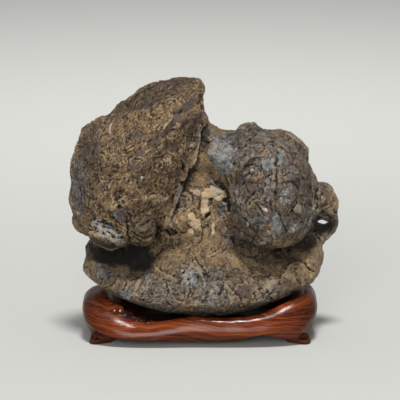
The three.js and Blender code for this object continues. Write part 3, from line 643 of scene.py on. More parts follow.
    def blot(self, centre, size, turn, uneven=0.3):
        """1 in the middle of a drawn patch, falling to 0 over its edge."""
        return (1 - ramp(self.reach(centre, size, turn, uneven), 0.65, 1.2)) * self.seen


def strands(points, way, size, length, seed=0):
    """Sharp-crested noise drawn out that many mm to both sides along the flow, about -1 to 1."""
    total = np.zeros(len(points))
    for step in np.linspace(-1, 1, 9):
        total += 1 - 3.2 * np.abs(noise(points + way * (step * length), size, seed))
    return total / 9 * 1.6


def lips(points, way, size, length, count, seed=0):
    """Steps that overlap like thin layers, each rising slowly and ending in a sharp drop, 0 to 0.8."""
    total = sum(noise(points + way * (step * length), size, seed) for step in np.linspace(-1, 1, 7)) / 7
    part = (total * count) % 1.0
    return part - ramp(part, 0.8, 1.0)


def draw_strokes(sculpt, *kinds):
    for kind, width, depth, *points in STROKES:
        if kind in kinds:
            sculpt.draw(kind, width, depth, points)


def main_forms(sculpt):
    """Flattens the hole under the knob, then adds the broad swellings and the drawn ledges and ridges."""
    sculpt.squeeze((325.5, 221), (9, 6), 2.0, 0.8)
    sculpt.push(0.9 * layered(sculpt.own, 30, 2, 1) - 0.8)
    sculpt.push(2.2 * np.abs(layered(sculpt.own, 17, 2, 2)) - 0.7)
    draw_strokes(sculpt, "ledge", "ridge")


def regions(sculpt):
    """1 on the left lobe, the right lobe, the rim and the pale waist, with soft borders between them."""
    own = sculpt.own
    up = own[:, 2] * math.cos(TILT) + own[:, 1] * math.sin(TILT)
    border = layered(own, 14, 3, 5) * (4 + 22 * ramp(own[:, 1], -5, 25))
    left = ramp(up - 70 - (own[:, 0] + 42) * 2.45 + border, -6, 6) * ramp(up + border, 62, 74)
    beside = ramp(own[:, 0] - 12 + border, 0, 10)
    right = beside * ramp(up + border - (own[:, 0] - 50) * 0.1, 64, 76) * (1 - left)
    rim = (1 - ramp(up + border + 0.004 * own[:, 0] ** 2, 50, 62)) * (1 - left) * (1 - right)
    waist = np.clip(1 - left - right - rim, 0, 1)
    return left, right, rim, waist


def wrinkles(sculpt):
    """Strands along the flow, crumpled bark, broken lips down the rim, and grit all over."""
    own = sculpt.own
    left, right, rim, waist = regions(sculpt)
    way = sculpt.flow()
    bends = [2.8 * layered(own, 12, 2, seed) + 1.1 * layered(own, 4, 2, seed + 20) for seed in (61, 63, 65)]
    warped = own + np.stack(bends, 1)
    wide = strands(warped, way, 6.5, 11, 7)
    thin = strands(warped, way, 3.4, 7, 8)
    curl = 1 - 3 * np.abs(layered(warped, 6.0, 2, 27))
    crumple = 1 - 3 * np.abs(layered(warped, 3.4, 2, 28))
    dents = layered(warped, 2.6, 2, 9, 0.65)
    hair = strands(warped, way, 2.2, 4.5, 45)
    coarse = layered(warped, 13, 2, 3)
    step = lips(warped, way, 15, 9, 4.5, 43) - 0.35
    flake = lips(warped, way, 7, 3, 3.0, 44) - 0.35
    plain = ramp(noise(own, 22, 19), 0.05, 0.5)
    rough = ramp(noise(own, 15, 20), -0.3, 0.3)

    cap = (0.4 * wide + 0.35 * thin) * (1 - 0.5 * plain) + (0.15 * curl + 0.2 * crumple) * (0.3 + 0.7 * rough)
    cap += 0.35 * dents + 0.9 * coarse + (0.8 * flake + 0.4 * step) * (1 - 0.6 * plain) + 0.22 * hair
    ball = 0.6 * wide + 0.25 * thin + 0.05 * crumple * rough + 0.1 * dents + 0.7 * coarse
    ball += 0.7 * step + 0.1 * flake + 0.2 * hair
    skirt = 0.45 * wide + 0.35 * thin + 0.1 * curl + 0.15 * crumple * rough + 0.25 * dents + 1.0 * coarse
    skirt += 0.9 * step + 0.3 * flake + 0.15 * hair
    smooth = 0.2 * wide + 0.2 * thin + 0.12 * curl + 0.1 * crumple + 0.2 * dents + 0.6 * coarse + 0.25 * flake
    smooth += 0.16 * hair

    shares = (left, right, rim, waist)
    amount = sum(share * form for share, form in zip(shares, (cap, ball, skirt, smooth)))
    patched = sculpt.mask("worn") + sculpt.mask("slate") * 0.45 + sculpt.mask("quartz") * 0.4
    sculpt.push(amount * (1 - 0.7 * np.clip(patched, 0, 1)))
    for name, share in zip(("left", "right", "rim", "waist"), shares):
        sculpt.masks[name] = share
    # Slate and wear also show here and there, more on the sides that the front view doesn't show.
    worn_face = ramp(layered(own, 22, 3, 71), 0.28, 0.5)
    sculpt.paint("slate", worn_face * (0.6 * right + 0.65 * rim + 0.3 * left) * (1 - 0.5 * sculpt.seen))
    sculpt.paint("worn", ramp(layered(own, 19, 2, 74), 0.35, 0.6) * 0.7 * (left + right))
    sculpt.paint("tan", ramp(layered(own, 12, 3, 77), 0.2, 0.6) * 0.5)


# The recess that the stone rests in: its lowest height, how it rises to the sides and to front and back, and
# the gap over it, all in mm.
BOWL = 15
BOWL_RISE = (0.0036, 0.00625)
BOWL_GAP = 0.1
# Nearer than this to a wall of its box, in mm, the stone is flattened.
WALL = 2.0


def keep_clear(sculpt):
    """Keeps the stone inside its solid's box and above the recess that it rests in."""
    low, high = (np.array(corner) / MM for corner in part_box("stone"))
    for axis in range(3):
        for wall, way in ((low[axis], 1), (high[axis], -1)):
            gap = (sculpt.at[:, axis] - wall) * way
            near = gap < WALL
            eased = WALL * np.exp((gap[near] - WALL) / WALL)
            sculpt.at[near, axis] = wall + way * eased
    own = sculpt.at - SHIFT
    bowl = BOWL + BOWL_RISE[0] * (own[:, 0] + 2) ** 2 + BOWL_RISE[1] * own[:, 1] ** 2
    under = own[:, 2] < bowl + BOWL_GAP
    sculpt.at[under, 2] = bowl[under] + BOWL_GAP


def stone_mesh(settings):
    """A copy of the stone's solid, smoothed and divided evenly, more finely where the front view sees it."""
    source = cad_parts["stone"].data.copy()
    bm = bmesh.new()
    bm.from_mesh(source)
    bmesh.ops.remove_doubles(bm, verts=bm.verts, dist=1e-6)
    bm.to_mesh(source)
    bm.free()
    rough = linked("rough_stone", source)
    smooth = rough.modifiers.new("smooth", "SUBSURF")
    smooth.levels = smooth.render_levels = 2
    even = rough.modifiers.new("even", "REMESH")
    even.mode = "VOXEL"
    even.voxel_size = settings.cell * MM
    graph = bpy.context.evaluated_depsgraph_get()
    mesh = bpy.data.meshes.new_from_object(rough.evaluated_get(graph))
    bpy.data.objects.remove(rough)
    bpy.data.meshes.remove(source)
    mesh.name = "stone_surface"
    seen = sight(mesh)
    bm = bmesh.new()
    bm.from_mesh(mesh)
    faces = [face for face in bm.faces if max(seen[vert.index] for vert in face.verts) > 0]
    edges = {edge for face in faces for edge in face.edges}
    bmesh.ops.subdivide_edges(bm, edges=list(edges), cuts=1, use_grid_fill=True)
    for _ in range(2):
        bmesh.ops.smooth_vert(
            bm, verts=bm.verts, factor=0.5, use_axis_x=True, use_axis_y=True, use_axis_z=True
        )
    bm.to_mesh(mesh)
    bm.free()
    return mesh


def sculpt_stone(settings):
    """The stone's finished surface, with the masks that its material reads."""
    mesh = stone_mesh(settings)
    sculpt = Sculpt(mesh)
    main_forms(sculpt)
    sculpt.find_normals()
    for *place, lift in LUMPS:
        edge = np.clip(sculpt.reach(*place, 0.5), 0, 1)
        sculpt.push(0.8 * lift * (1 - edge**2.6) * sculpt.seen)
    for *place, lift, paints in SPOTS:
        spot = sculpt.blot(*place)
        sculpt.push(lift * spot)
        for name, strength in paints.items():
            sculpt.paint(name, strength * spot)
    for name, tints in TINTS.items():
        for *place, strength in tints:
            sculpt.paint(name, strength * sculpt.blot(*place))
    sculpt.find_normals()
    wrinkles(sculpt)
    draw_strokes(sculpt, "crack", "seam")
    for *place, strength in SHADES:
        sculpt.paint("shade", strength * sculpt.blot(*place, uneven=0.15))
    keep_clear(sculpt)
    sculpt.find_normals()
    # The relief: painted shade in the fine and broad hollows and painted highlights on the crests, less so
    # where the mesh is coarser.
    fine, broad = (sculpt.hollow(times) for times in (2, 16))
    shape = (fine / fine.std() + 0.9 * broad / broad.std()) * (0.55 + 0.45 * sculpt.seen)
    sculpt.masks["relief"] = np.clip(0.5 - 0.16 * shape, 0, 1)
    for name in PAINTS:
        add_mask(mesh, name, sculpt.mask(name))
    return mesh


# The stand, from the same drawing as its solid but with many more steps

# Its plan in mm, the heights of the recess and the underside, the feet's angles, and their sizes in mm.
PLAN_MIDDLE = (-4.0, -2.0)
PLAN_LENGTH = 188.0
PLAN_DEPTH = 104.0
FLOOR = 14.6
UNDERSIDE = 8.5
FEET = (23, 157, 203, 337)
FOOT_WIDTH = 4.0
FOOT_SPREAD = 8.0
# The heights of the rim and of the apron's lower edge in mm, each after its angle in degrees.
RIM_HEIGHTS = (
    (0, 37.5), (12, 37), (22, 34.5), (35, 30), (50, 26.5), (70, 24.5), (90, 25), (110, 24.5), (130, 26),
    (145, 28.5), (158, 33), (168, 35.5), (180, 36), (192, 35), (202, 31), (210, 25.5), (217, 21.5), (223, 20),
    (229, 20.2), (236, 20.8), (244, 22), (253, 23.4), (263, 24.4), (272, 24.4), (282, 23.8), (292, 23.3),
    (302, 23.5), (312, 24.4), (320, 26.5), (328, 31), (335, 35), (344, 37.5),
)
EDGE_HEIGHTS = (
    (0, 8), (40, 8), (65, 5.5), (90, 4.8), (120, 5.5), (142, 8), (180, 8), (214, 6.4), (220, 6), (228, 4.9),
    (245, 4.6), (295, 4.6), (309, 6.5), (318, 9.2), (323, 7.8), (330, 5), (345, 7),
)


def around(keys, degrees):
    """A closed smooth curve through heights given at angles."""
    count = len(keys)
    at = degrees % 360
    last = max(i for i in range(count) if keys[i][0] <= at)
    (a0, h0), (a1, h1), (a2, h2), (a3, h3) = (
        (keys[i % count][0] + 360 * (i // count), keys[i % count][1]) for i in range(last - 1, last + 3)
    )
    t = (at - a1) / (a2 - a1)
    rise1 = (h2 - h0) / (a2 - a0) * (a2 - a1)
    rise2 = (h3 - h1) / (a3 - a1) * (a2 - a1)
    rest = 1 - t
    return h1 * (1 + 2 * t) * rest**2 + rise1 * t * rest**2 + h2 * t**2 * (3 - 2 * t) - rise2 * rest * t**2


def plan_point(degrees, inset, square=4.0):
    """A point of the plan, that many mm inside its outline, whose corners are as square as the power says."""
    angle = math.radians(degrees)
    across = abs(math.cos(angle)) / (PLAN_LENGTH / 2 - inset)
    deep = abs(math.sin(angle)) / (PLAN_DEPTH / 2 - inset)
    reach = (across**square + deep**square) ** (-1 / square)
    return PLAN_MIDDLE[0] + reach * math.cos(angle), PLAN_MIDDLE[1] + reach * math.sin(angle)


def foot_share(degrees):
    """1 on a foot and 0 away from it."""
    here = plan_point(degrees, 5)
    gap = min(math.dist(here, plan_point(foot, 5)) for foot in FEET)
    return 1 - float(ramp(gap, FOOT_WIDTH / 2, FOOT_WIDTH / 2 + FOOT_SPREAD))


def section(degrees):
    """The section at one angle, from the recess over the rim to the underside: inset, height, squareness."""
    rim = around(RIM_HEIGHTS, degrees)
    edge = around(EDGE_HEIGHTS, degrees)
    foot = foot_share(degrees)
    turn = math.cos(math.radians(degrees))
    end = turn**2
    wide = 1 + (0.9 if turn < 0 else 0.15) * end
    wall = rim - FLOOR

    def low(on_foot, away):
        return away + (on_foot - away) * foot

    return (
        (wide * 24, FLOOR, 3.4),
        (wide * 20, FLOOR + 0.6, 3.4),
        (wide * 16, FLOOR + 0.3 * wall, 3.5),
        (wide * 12.5, FLOOR + 0.72 * wall, 3.6),
        (wide * 9.5, rim - 0.8, 3.6),
        (wide * 6.5, rim, 3.6),
        (wide * 3, rim - 2.5, 3.6),
        (0.7, rim - 7.5, 3.8),
        (0.0, rim - 12 - 2 * end, 4.2),
        (low(3.4, 2.4), edge + 0.5 * (rim - 12 - edge), 5.0),
        (low(6.4, 4.6), low(9, edge + 2.6), 5.5),
        (low(8.2, 6), low(5.2, edge + 0.6), 5.5),
        (low(3.4, 7.4), low(1.6, edge), 5.5),
        (low(4.8, 9), low(0, edge), 5.5),
        (low(14.5, 11), low(0, edge + 0.2), 5.5),
        (low(16.5, 14), low(2.2, edge + 1.4), 5.5),
        (low(21, 20), low(6.5, UNDERSIDE - 0.6), 5.0),
        (30.0, UNDERSIDE, 4.0),
    )


def smooth_section(degrees, steps):
    """The section's corners joined by a smooth curve, with that many steps between two corners."""
    keys = np.array(section(degrees))
    padded = np.vstack([keys[0], keys, keys[-1]])
    t = np.linspace(0, 1, steps, endpoint=False)[:, None]
    made = []
    for a, b, c, d in zip(padded, padded[1:], padded[2:], padded[3:]):
        made.append(
            0.5 * (2 * b + (c - a) * t + (2 * a - 5 * b + 4 * c - d) * t**2 + (3 * b - a - 3 * c + d) * t**3)
        )
    made.append(keys[-1:])
    rings = np.vstack(made)
    rings[:, 1] = np.maximum(rings[:, 1], 0)
    return rings


def even_angles(count):
    """That many angles, evenly spaced along the plan's outline."""
    fine = np.arange(0, 360.01, 0.25)
    points = np.array([plan_point(degrees, 0) for degrees in fine])
    lengths = np.concatenate([[0], np.cumsum(np.linalg.norm(np.diff(points, axis=0), axis=1))])
    return np.interp(np.linspace(0, lengths[-1], count, endpoint=False), lengths, fine)


def stand_mesh(settings):
    angles = even_angles(settings.segments)
    rings = [smooth_section(degrees, settings.steps) for degrees in angles]
    count = len(rings[0])
    # A line of points, one for each ring and one at each end, is spun into a disc and then pulled into shape.
    bm = bmesh.new()
    line = [bm.verts.new((0, 0, 1))]
    line += [bm.verts.new((k + 1, 0, 0)) for k in range(count)]
    line.append(bm.verts.new((0, 0, -1)))
    edges = [bm.edges.new(pair) for pair in zip(line, line[1:])]
    bmesh.ops.spin(
        bm, geom=line + edges, cent=(0, 0, 0), axis=(0, 0, 1), angle=2 * math.pi, steps=settings.segments,
        use_merge=True,
    )
    bmesh.ops.remove_doubles(bm, verts=bm.verts, dist=1e-4)
    for vert in bm.verts:
        ring = round(math.hypot(vert.co.x, vert.co.y)) - 1
        if ring < 0:
            vert.co = Vector((*PLAN_MIDDLE, FLOOR if vert.co.z > 0 else UNDERSIDE))
        else:
            turn = math.atan2(vert.co.y, vert.co.x) / (2 * math.pi) * settings.segments
            i = round(turn) % settings.segments
            inset, height, square = rings[i][ring]
            vert.co = Vector((*plan_point(angles[i], inset, square), height))
    bmesh.ops.recalc_face_normals(bm, faces=bm.faces)
    mesh = bpy.data.meshes.new("stand_surface")
    bm.to_mesh(mesh)
    bm.free()
    carve_stand(mesh)
    return mesh


def carve_stand(mesh):
    """Knobbly burr carving on the inner slope of the left end, and a hand-worked unevenness all over."""
    at, normal = arrays(mesh)
    x, y = pixels(at + SHIFT)
    # In the front view, the burr is a band that curves down to the right.
    along = np.clip((x - 112) / 40, 0, 1)
    middle = 303 + 17.5 * along**0.7
    burr = ramp(x, 110, 117) * ramp(x, 158, 148)
    burr *= ramp(np.abs(y - middle), 6.5, 3.5)
    burr *= ramp(normal[:, 2], 0.1, 0.4)
    gap = joints(at, 4.2, 6)
    amount = burr * (1.5 * ramp(gap, 0, 1.7) - 0.6 + 0.4 * noise(at, 3, 8))
    amount += (0.25 * noise(at, 24, 3) + 0.06 * noise(at, 8, 4)) * ramp(at[:, 2], 0.5, 4)
    at += normal * amount[:, None]
    # Painted shade darkens the wood in the recess, painted shadow of the stone darkens both ends, and the burr
    # is a little darker.
    deep = np.abs(at[:, 0] + 4) / 94
    inside = (at[:, 0] - PLAN_MIDDLE[0]) ** 4 / 84**4 + (at[:, 1] - PLAN_MIDDLE[1]) ** 4 / 44**4 < 1
    dark_to = FLOOR + 7 + 12 * deep**4 + 8 * ramp(at[:, 0], -74, -58)
    hollow = ramp(at[:, 2], dark_to, dark_to - 5) * inside * (at[:, 2] > FLOOR - 1)
    end = ramp(np.abs(at[:, 0] + 4), 62, 92)
    hollow = np.maximum(hollow, np.maximum(0.6 * end, 0.35 * burr))
    at = (at + SHIFT) * MM
    at[:, 2] = np.maximum(at[:, 2], 0)
    mesh.vertices.foreach_set("co", at.ravel())
    add_mask(mesh, "hollow", 0.9 * hollow)
    mesh.update()


# Materials


class Signal:
    """A node's output that can be added, multiplied and so on, each step making one maths node."""

    def __init__(self, shader, socket):
        self.shader = shader
        self.socket = socket

    def _step(self, operation, *inputs):
        return self.shader.make("ShaderNodeMath", operation=operation, feeds=dict(enumerate(inputs)))

    def __add__(self, other):
        return self._step("ADD", self, other)

    def __radd__(self, other):
        return self._step("ADD", self, other)

    def __sub__(self, other):
        return self._step("SUBTRACT", self, other)

    def __rsub__(self, other):
        return self._step("SUBTRACT", other, self)

    def __mul__(self, other):
        return self._step("MULTIPLY", self, other)

    def __rmul__(self, other):
        return self._step("MULTIPLY", self, other)

    def __abs__(self):
        return self._step("ABSOLUTE", self)

    def ramp(self, low, high, start=0.0, end=1.0):
        """Eases from start to end as this goes from low to high."""
        feeds = {"Value": self, "From Min": low, "From Max": high, "To Min": start, "To Max": end}
        return self.shader.make("ShaderNodeMapRange", interpolation_type="SMOOTHSTEP", feeds=feeds)


class Shader:
    """Builds one material's nodes."""

    def __init__(self, name):
        self.material = bpy.data.materials.new(name)
        self.material.use_nodes = True
        self.tree = self.material.node_tree
        self.surface = self.tree.nodes["Principled BSDF"]
        self.place = self.make("ShaderNodeTexCoord", output="Object")

    def make(self, kind, feeds=None, output=0, **settings):
        """Adds a node, sets and joins its inputs, and returns one of its outputs."""
        node = self.tree.nodes.new(kind)
        for name, value in settings.items():
            setattr(node, name, value)
        for name, value in (feeds or {}).items():
            self.feed(node.inputs[name], value)
        return Signal(self, node.outputs[output])

    def feed(self, socket, value):
        if isinstance(value, Signal):
            self.tree.links.new(value.socket, socket)
        else:
            socket.default_value = value

    def mask(self, name):
        return self.make("ShaderNodeAttribute", attribute_name=name, output="Fac")

    def speckle(self, size, detail=3.0, rough=0.6, place=None, distortion=0.0):
        """Noise around 0.5 whose lumps are that many mm wide."""
        feeds = {
            "Vector": place or self.place, "Scale": 1 / (size * MM), "Detail": detail, "Roughness": rough,
            "Distortion": distortion,
        }
        return self.make("ShaderNodeTexNoise", feeds=feeds)

    def mix(self, share, under, over):
        """A colour laid over another by its share. Each is a signal or a hex colour."""
        under, over = (colour(tint) if isinstance(tint, str) else tint for tint in (under, over))
        return self.make("ShaderNodeMix", data_type="RGBA", feeds={0: share, 6: under, 7: over}, output=2)

    def layers(self, base, *layers):
        """Lays each colour over those before it, by its share."""
        for share, tint in layers:
            base = self.mix(share, base, tint)
        return base

    def stretch(self, x, y, z):
        return self.make("ShaderNodeMapping", feeds={"Vector": self.place, "Scale": (x, y, z)})

    def bump(self, height, depth):
        """Depth in mm of a height that goes from 0 to 1."""
        feeds = {"Height": height, "Distance": depth * MM, "Strength": 1.0}
        return self.make("ShaderNodeBump", feeds=feeds)

    def dressed(self, feeds):
        """The material, with its surface's inputs set and joined."""
        for name, value in feeds.items():
            self.feed(self.surface.inputs[name], value)
        return self.material


def colour(hexadecimal):
    """A hex colour as the linear values that Blender's sockets take."""
    parts = [int(hexadecimal[i : i + 2], 16) / 255 for i in (0, 2, 4)]
    return (*(c / 12.92 if c <= 0.04045 else ((c + 0.055) / 1.055) ** 2.4 for c in parts), 1.0)


DARK_BROWN = "604a36"
BROWN = "967955"
DARK_GREY = "5a534b"
GREY = "857c72"
DARK_TAN = "7c654a"
TAN = "b19670"
OCHRE = "a3845a"
SLATE = "abaeae"
DARK_SLATE = "696b6c"
RUST = "8f5f38"
QUARTZ = "ecd0ab"
QUARTZ_DARK = "d6b28a"
QUARTZ_PALE = "efdcc0"
GLINT = "d9d2c6"
SPARK = "decbad"
WORN = "6c5952"
PALE = "c8b89d"
FURROW_SHADE = "15100c"
CREST_HIGHLIGHT = "d8bc94"
CREST_HIGHLIGHT_GREY = "a39a90"
WOOD_DARK = "40180b"
WOOD_LIGHT = "7c3a1b"
WOOD_WARM = "8a431f"
WOOD_LINE = "210a05"
RECESS_SHADE = "160805"
DARK_AND_PIT_SHADE = "120d0a"
CRACK_AND_LEDGE_SHADE = "070504"
SHADOW = "0a0705"
PAPER = "b8b8b4"


def stone_material(settings):
    shader = Shader("stone_skin")
    names = ("relief", "crack", "worn", "quartz", "slate", "shade", "white", "right", "rim")
    relief, crack, worn, quartz, slate, shade, white, right, rim = (shader.mask(name) for name in names)
    fine = (shader.speckle(1.9, 5, 0.75, distortion=0.6) - 0.5) * 2.6
    grit = (shader.speckle(0.7, 3, 0.7) - 0.5) * 2.4
    wire = abs(shader.speckle(2.6, 3, 0.6, distortion=1.2) - 0.5)
    spark = shader.speckle(1.3, 2, 0.55, distortion=0.4)
    blotch = shader.speckle(6, 5, 0.75, distortion=0.8)
    broad = shader.speckle(30, 3, 0.6)
    hue = shader.speckle(3.4, 4, 0.75, distortion=0.5)
    calm = 1 - worn * 0.5 - quartz * 0.75 - slate * 0.3
    light = (relief - 0.5) * 1.6 + (fine * 0.48 + grit * 0.42) * calm

    def patch(name, most=1.0):
        """A painted patch with a broken edge."""
        mask = shader.mask(name)
        return (mask + (blotch - 0.5) * 1.5).ramp(0.36, 0.58) * mask.ramp(0.0, 0.4) * most

    brown = shader.mix(blotch.ramp(0.4, 0.6), DARK_BROWN, settings.brown)
    brown = shader.mix(hue.ramp(0.52, 0.62) * 0.55, brown, OCHRE)
    grey = shader.mix(blotch.ramp(0.4, 0.6), DARK_GREY, settings.grey)
    grey = shader.mix(hue.ramp(0.54, 0.64) * 0.5, grey, settings.brown)
    tan = shader.mix(blotch.ramp(0.38, 0.62), DARK_TAN, TAN)
    slates = shader.mix(hue.ramp(0.4, 0.6), DARK_SLATE, SLATE)
    milky = shader.mix(blotch.ramp(0.42, 0.6), QUARTZ_DARK, QUARTZ)
    milky = shader.mix(hue.ramp(0.5, 0.62) * 0.8, milky, QUARTZ_PALE)
    crest_highlight = shader.mix(right * 0.75 + rim * 0.4, CREST_HIGHLIGHT, CREST_HIGHLIGHT_GREY)
    base = shader.layers(
        brown,
        (right * broad.ramp(0.35, 0.6, 0.45, 1.0), grey),
        (rim * broad.ramp(0.4, 0.6, 0.3, 0.9), grey),
        (shader.mask("waist"), tan),
        (patch("tan", 0.8), OCHRE),
        (patch("slate", 0.95), slates),
        (patch("rust", 0.9), RUST),
        (patch("quartz"), milky),
        (patch("worn", 0.85), WORN),
        (patch("pale", 0.75), PALE),
        # Painted shade in the thin grooves and in the relief's hollows, and painted highlights on its crests,
        # over fine and grit noise
        (wire.ramp(0.05, 0.0) * 0.35 * calm, FURROW_SHADE),
        (light.ramp(0.0, -0.5) * 0.95, FURROW_SHADE),
        (light.ramp(0.2, 0.75) * 0.65 * calm, crest_highlight),
        # Pale specks as small painted glints, and dark specks
        (spark.ramp(0.61, 0.68) * 0.5 * calm, SPARK),
        (spark.ramp(0.38, 0.31) * 0.5 * calm, FURROW_SHADE),
        # White spots: painted glints, and white on the quartz
        ((white + fine * 0.3).ramp(0.35, 0.7), GLINT),
        # Darker patches, and painted shade in the pits and pockets
        (shader.mask("dark") * 0.92, DARK_AND_PIT_SHADE),
        # Painted shade in the cracks and at the feet of the ledges
        ((crack + fine * 0.15).ramp(0.3, 0.8) * 0.9, CRACK_AND_LEDGE_SHADE),
        (shade * 0.96, SHADOW),
    )
    height = fine * 0.34 + grit * 0.13 + hue * 0.4 + wire.ramp(0.0, 0.12) * 0.3
    return shader.dressed({
        "Base Color": base,
        "Roughness": fine * 0.1 + 0.46 - worn * 0.08 - white * 0.15 - slate * 0.04 + shade * 0.4,
        "Specular IOR Level": 0.45,
        "Normal": shader.bump(height, 2.6),
    })


def wood_material(settings):
    """Rosewood, cut from a plank whose dark growth lines lie nearly level."""
    shader = Shader("stand_wood")
    hollow = shader.mask("hollow")
    height = shader.make("ShaderNodeSeparateXYZ", feeds={"Vector": shader.place}, output=2) * (1 / MM)
    sway = (shader.speckle(75, 2, 0.5, shader.stretch(1, 1.6, 1.6)) - 0.5) * 34
    ripple = (shader.speckle(16, 2, 0.5, shader.stretch(0.5, 1, 1)) - 0.5) * 5
    flat = shader.make("ShaderNodeCombineXYZ", feeds={"Z": (height + sway + ripple) * MM})
    bands = shader.speckle(4.2, 2, 0.6, flat)
    thin = abs(shader.speckle(1.7, 3, 0.7, flat) - 0.5)
    streak = shader.speckle(1.3, 3, 0.7, shader.stretch(0.08, 0.5, 1))
    pores = shader.speckle(0.55, 2, 0.6, shader.stretch(0.1, 0.6, 1))
    wood = shader.layers(
        settings.dark,
        (bands.ramp(0.4, 0.62), settings.light),
        (streak.ramp(0.4, 0.7) * 0.45, WOOD_WARM),
        (thin.ramp(0.035, 0.0) * bands.ramp(0.6, 0.4, 0.35, 0.9), WOOD_LINE),
        (bands.ramp(0.37, 0.31) * 0.6, WOOD_LINE),
        (pores.ramp(0.6, 0.75) * 0.5, WOOD_LINE),
        # Painted shade in the recess and painted shadow at both ends
        (hollow, RECESS_SHADE),
    )
    return shader.dressed({
        "Base Color": wood,
        "Roughness": streak.ramp(0.3, 0.7, 0.11, 0.18) + hollow * 0.3,
        "IOR": 1.26,
        "Normal": shader.bump(pores * 0.4 + streak * 0.6, 0.12),
    })


def floor_material(settings):
    shader = Shader("floor_paper")
    return shader.dressed({"Base Color": settings.paper, "Roughness": 0.9, "Specular IOR Level": 0.1})


# Settings and operators


def tint(name, description, shade):
    """A setting for a colour, whose default is a hex colour."""
    return bpy.props.FloatVectorProperty(
        name=name, description=description, subtype="COLOR", size=4, min=0, max=1, default=colour(shade)
    )


class StoneSettings(bpy.types.PropertyGroup):
    cell: bpy.props.FloatProperty(
        name="Cell", description="Size of the surface's faces, in mm", default=1.98, min=0.8
    )
    brown: tint("Brown", "Main colour of the left side and the foot", BROWN)
    grey: tint("Grey", "Main colour of the right side", GREY)


class StandSettings(bpy.types.PropertyGroup):
    segments: bpy.props.IntProperty(name="Segments", description="Steps round the stand", default=440, min=60)
    steps: bpy.props.IntProperty(
        name="Steps", description="Steps between two corners of its section", default=6, min=1
    )
    dark: tint("Dark wood", "The darker of the wood's two main colours", WOOD_DARK)
    light: tint("Light wood", "The lighter of the wood's two main colours", WOOD_LIGHT)


class StageSettings(bpy.types.PropertyGroup):
    key: bpy.props.FloatProperty(
        name="Key light", description="Power of the overhead light, in W", unit="POWER", default=96
    )
    fill: bpy.props.FloatProperty(
        name="Fill light", description="Power of the light in front, in W", unit="POWER", default=62
    )
    back: bpy.props.FloatProperty(
        name="Back light", description="Power of the light on the floor behind, in W", unit="POWER", default=4.5
    )
    sky: bpy.props.FloatProperty(name="Sky", description="Strength of the light from all round", default=0.3)
    paper: tint("Floor", "Colour of the floor", PAPER)


def shown(name, mesh, material, node):
    """Links a finished mesh as a piece that stands for one solid of the frame."""
    mesh.materials.clear()
    mesh.materials.append(material)
    for polygon in mesh.polygons:
        polygon.use_smooth = True
    piece = linked(name, mesh)
    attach(piece, "root")
    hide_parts(node)


class ROCK_OT_stone(bpy.types.Operator):
    """Sculpt the stone over its solid"""

    bl_idname = "rock.stone"
    bl_label = "Sculpt the Stone"

    def execute(self, context):
        mesh = sculpt_stone(context.scene.rock_stone)
        shown("scholars_stone", mesh, stone_material(context.scene.rock_stone), "stone")
        return {"FINISHED"}


class ROCK_OT_stand(bpy.types.Operator):
    """Carve the wooden stand over its solid"""

    bl_idname = "rock.stand"
    bl_label = "Carve the Stand"

    def execute(self, context):
        mesh = stand_mesh(context.scene.rock_stand)
        shown("carved_stand", mesh, wood_material(context.scene.rock_stand), "stand")
        return {"FINISHED"}


# The floor's radius in m.
FLOOR_RADIUS = 12
# Each light: its place and where it shines in m, its diameter in m and its spread in degrees.
LIGHTS = {
    "key": ((0.15, -1.05, 3.0), (0, 0, 0.1), 0.68, 180),
    "fill": ((-0.4, -3.1, 1.1), (0, 0, 0.1), 1.6, 180),
    "back": ((0, 0.75, 1.3), (0, 1.35, 0), 1.1, 100),
}
# The width of the camera's sensor in mm.
SENSOR = 36


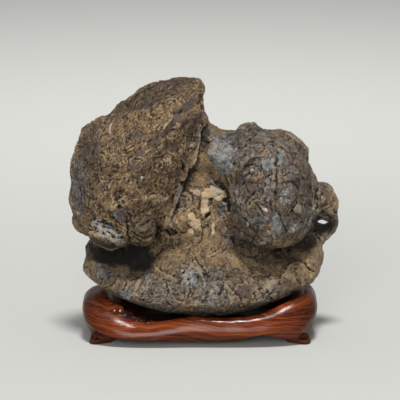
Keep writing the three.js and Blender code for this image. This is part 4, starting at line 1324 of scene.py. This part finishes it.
class ROCK_OT_stage(bpy.types.Operator):
    """Set the pale floor, the soft lights and the camera"""

    bl_idname = "rock.stage"
    bl_label = "Set the Stage"

    def execute(self, context):
        settings = context.scene.rock_stage
        bm = bmesh.new()
        bmesh.ops.create_circle(bm, cap_ends=True, radius=FLOOR_RADIUS, segments=128)
        mesh = bpy.data.meshes.new("floor")
        bm.to_mesh(mesh)
        bm.free()
        mesh.materials.append(floor_material(settings))
        floor = linked("floor", mesh)
        for name, light in LIGHTS.items():
            add_light(name + "_light", *light, getattr(settings, name))
        world = bpy.data.worlds.new("studio")
        world.use_nodes = True
        ground = world.node_tree.nodes["Background"]
        ground.inputs["Color"].default_value = (1, 1, 1, 1)
        ground.inputs["Strength"].default_value = settings.sky
        context.scene.world = world
        context.scene.view_settings.view_transform = "Standard"
        add_camera()
        return {"FINISHED"}


def add_light(name, place, target, size, spread, power):
    light = bpy.data.lights.new(name, "AREA")
    light.shape = "DISK"
    light.size = size
    light.spread = math.radians(spread)
    light.energy = power
    aimed(name, light, place, Vector(target) - Vector(place))


def add_camera():
    data = bpy.data.cameras.new("camera")
    data.sensor_width = SENSOR
    data.lens = SENSOR * DISTANCE * SCALE / PICTURE
    bpy.context.scene.camera = aimed("camera", data, EYE * MM, SIGHT)


class ROCK_PT_panel(bpy.types.Panel):
    """The settings of the stone, the stand and the stage, with their buttons"""

    bl_idname = "ROCK_PT_panel"
    bl_label = "Scholars Rock"
    bl_space_type = "VIEW_3D"
    bl_region_type = "UI"
    bl_category = "Scholars Rock"

    def draw(self, context):
        scene = context.scene
        groups = (
            ("rock.stone", scene.rock_stone),
            ("rock.stand", scene.rock_stand),
            ("rock.stage", scene.rock_stage),
        )
        for operator, settings in groups:
            column = self.layout.column()
            for name in settings.__annotations__:
                column.prop(settings, name)
            column.operator(operator)


CLASSES = (
    StoneSettings, StandSettings, StageSettings, ROCK_OT_stone, ROCK_OT_stand, ROCK_OT_stage, ROCK_PT_panel,
)


def register():
    for cls in CLASSES:
        bpy.utils.register_class(cls)
    bpy.types.Scene.rock_stone = bpy.props.PointerProperty(type=StoneSettings)
    bpy.types.Scene.rock_stand = bpy.props.PointerProperty(type=StandSettings)
    bpy.types.Scene.rock_stage = bpy.props.PointerProperty(type=StageSettings)


def unregister():
    del bpy.types.Scene.rock_stage
    del bpy.types.Scene.rock_stand
    del bpy.types.Scene.rock_stone
    for cls in reversed(CLASSES):
        bpy.utils.unregister_class(cls)


def main():
    register()
    bpy.ops.rock.stone()
    bpy.ops.rock.stand()
    bpy.ops.rock.stage()


if __name__ == "__main__":
    main()
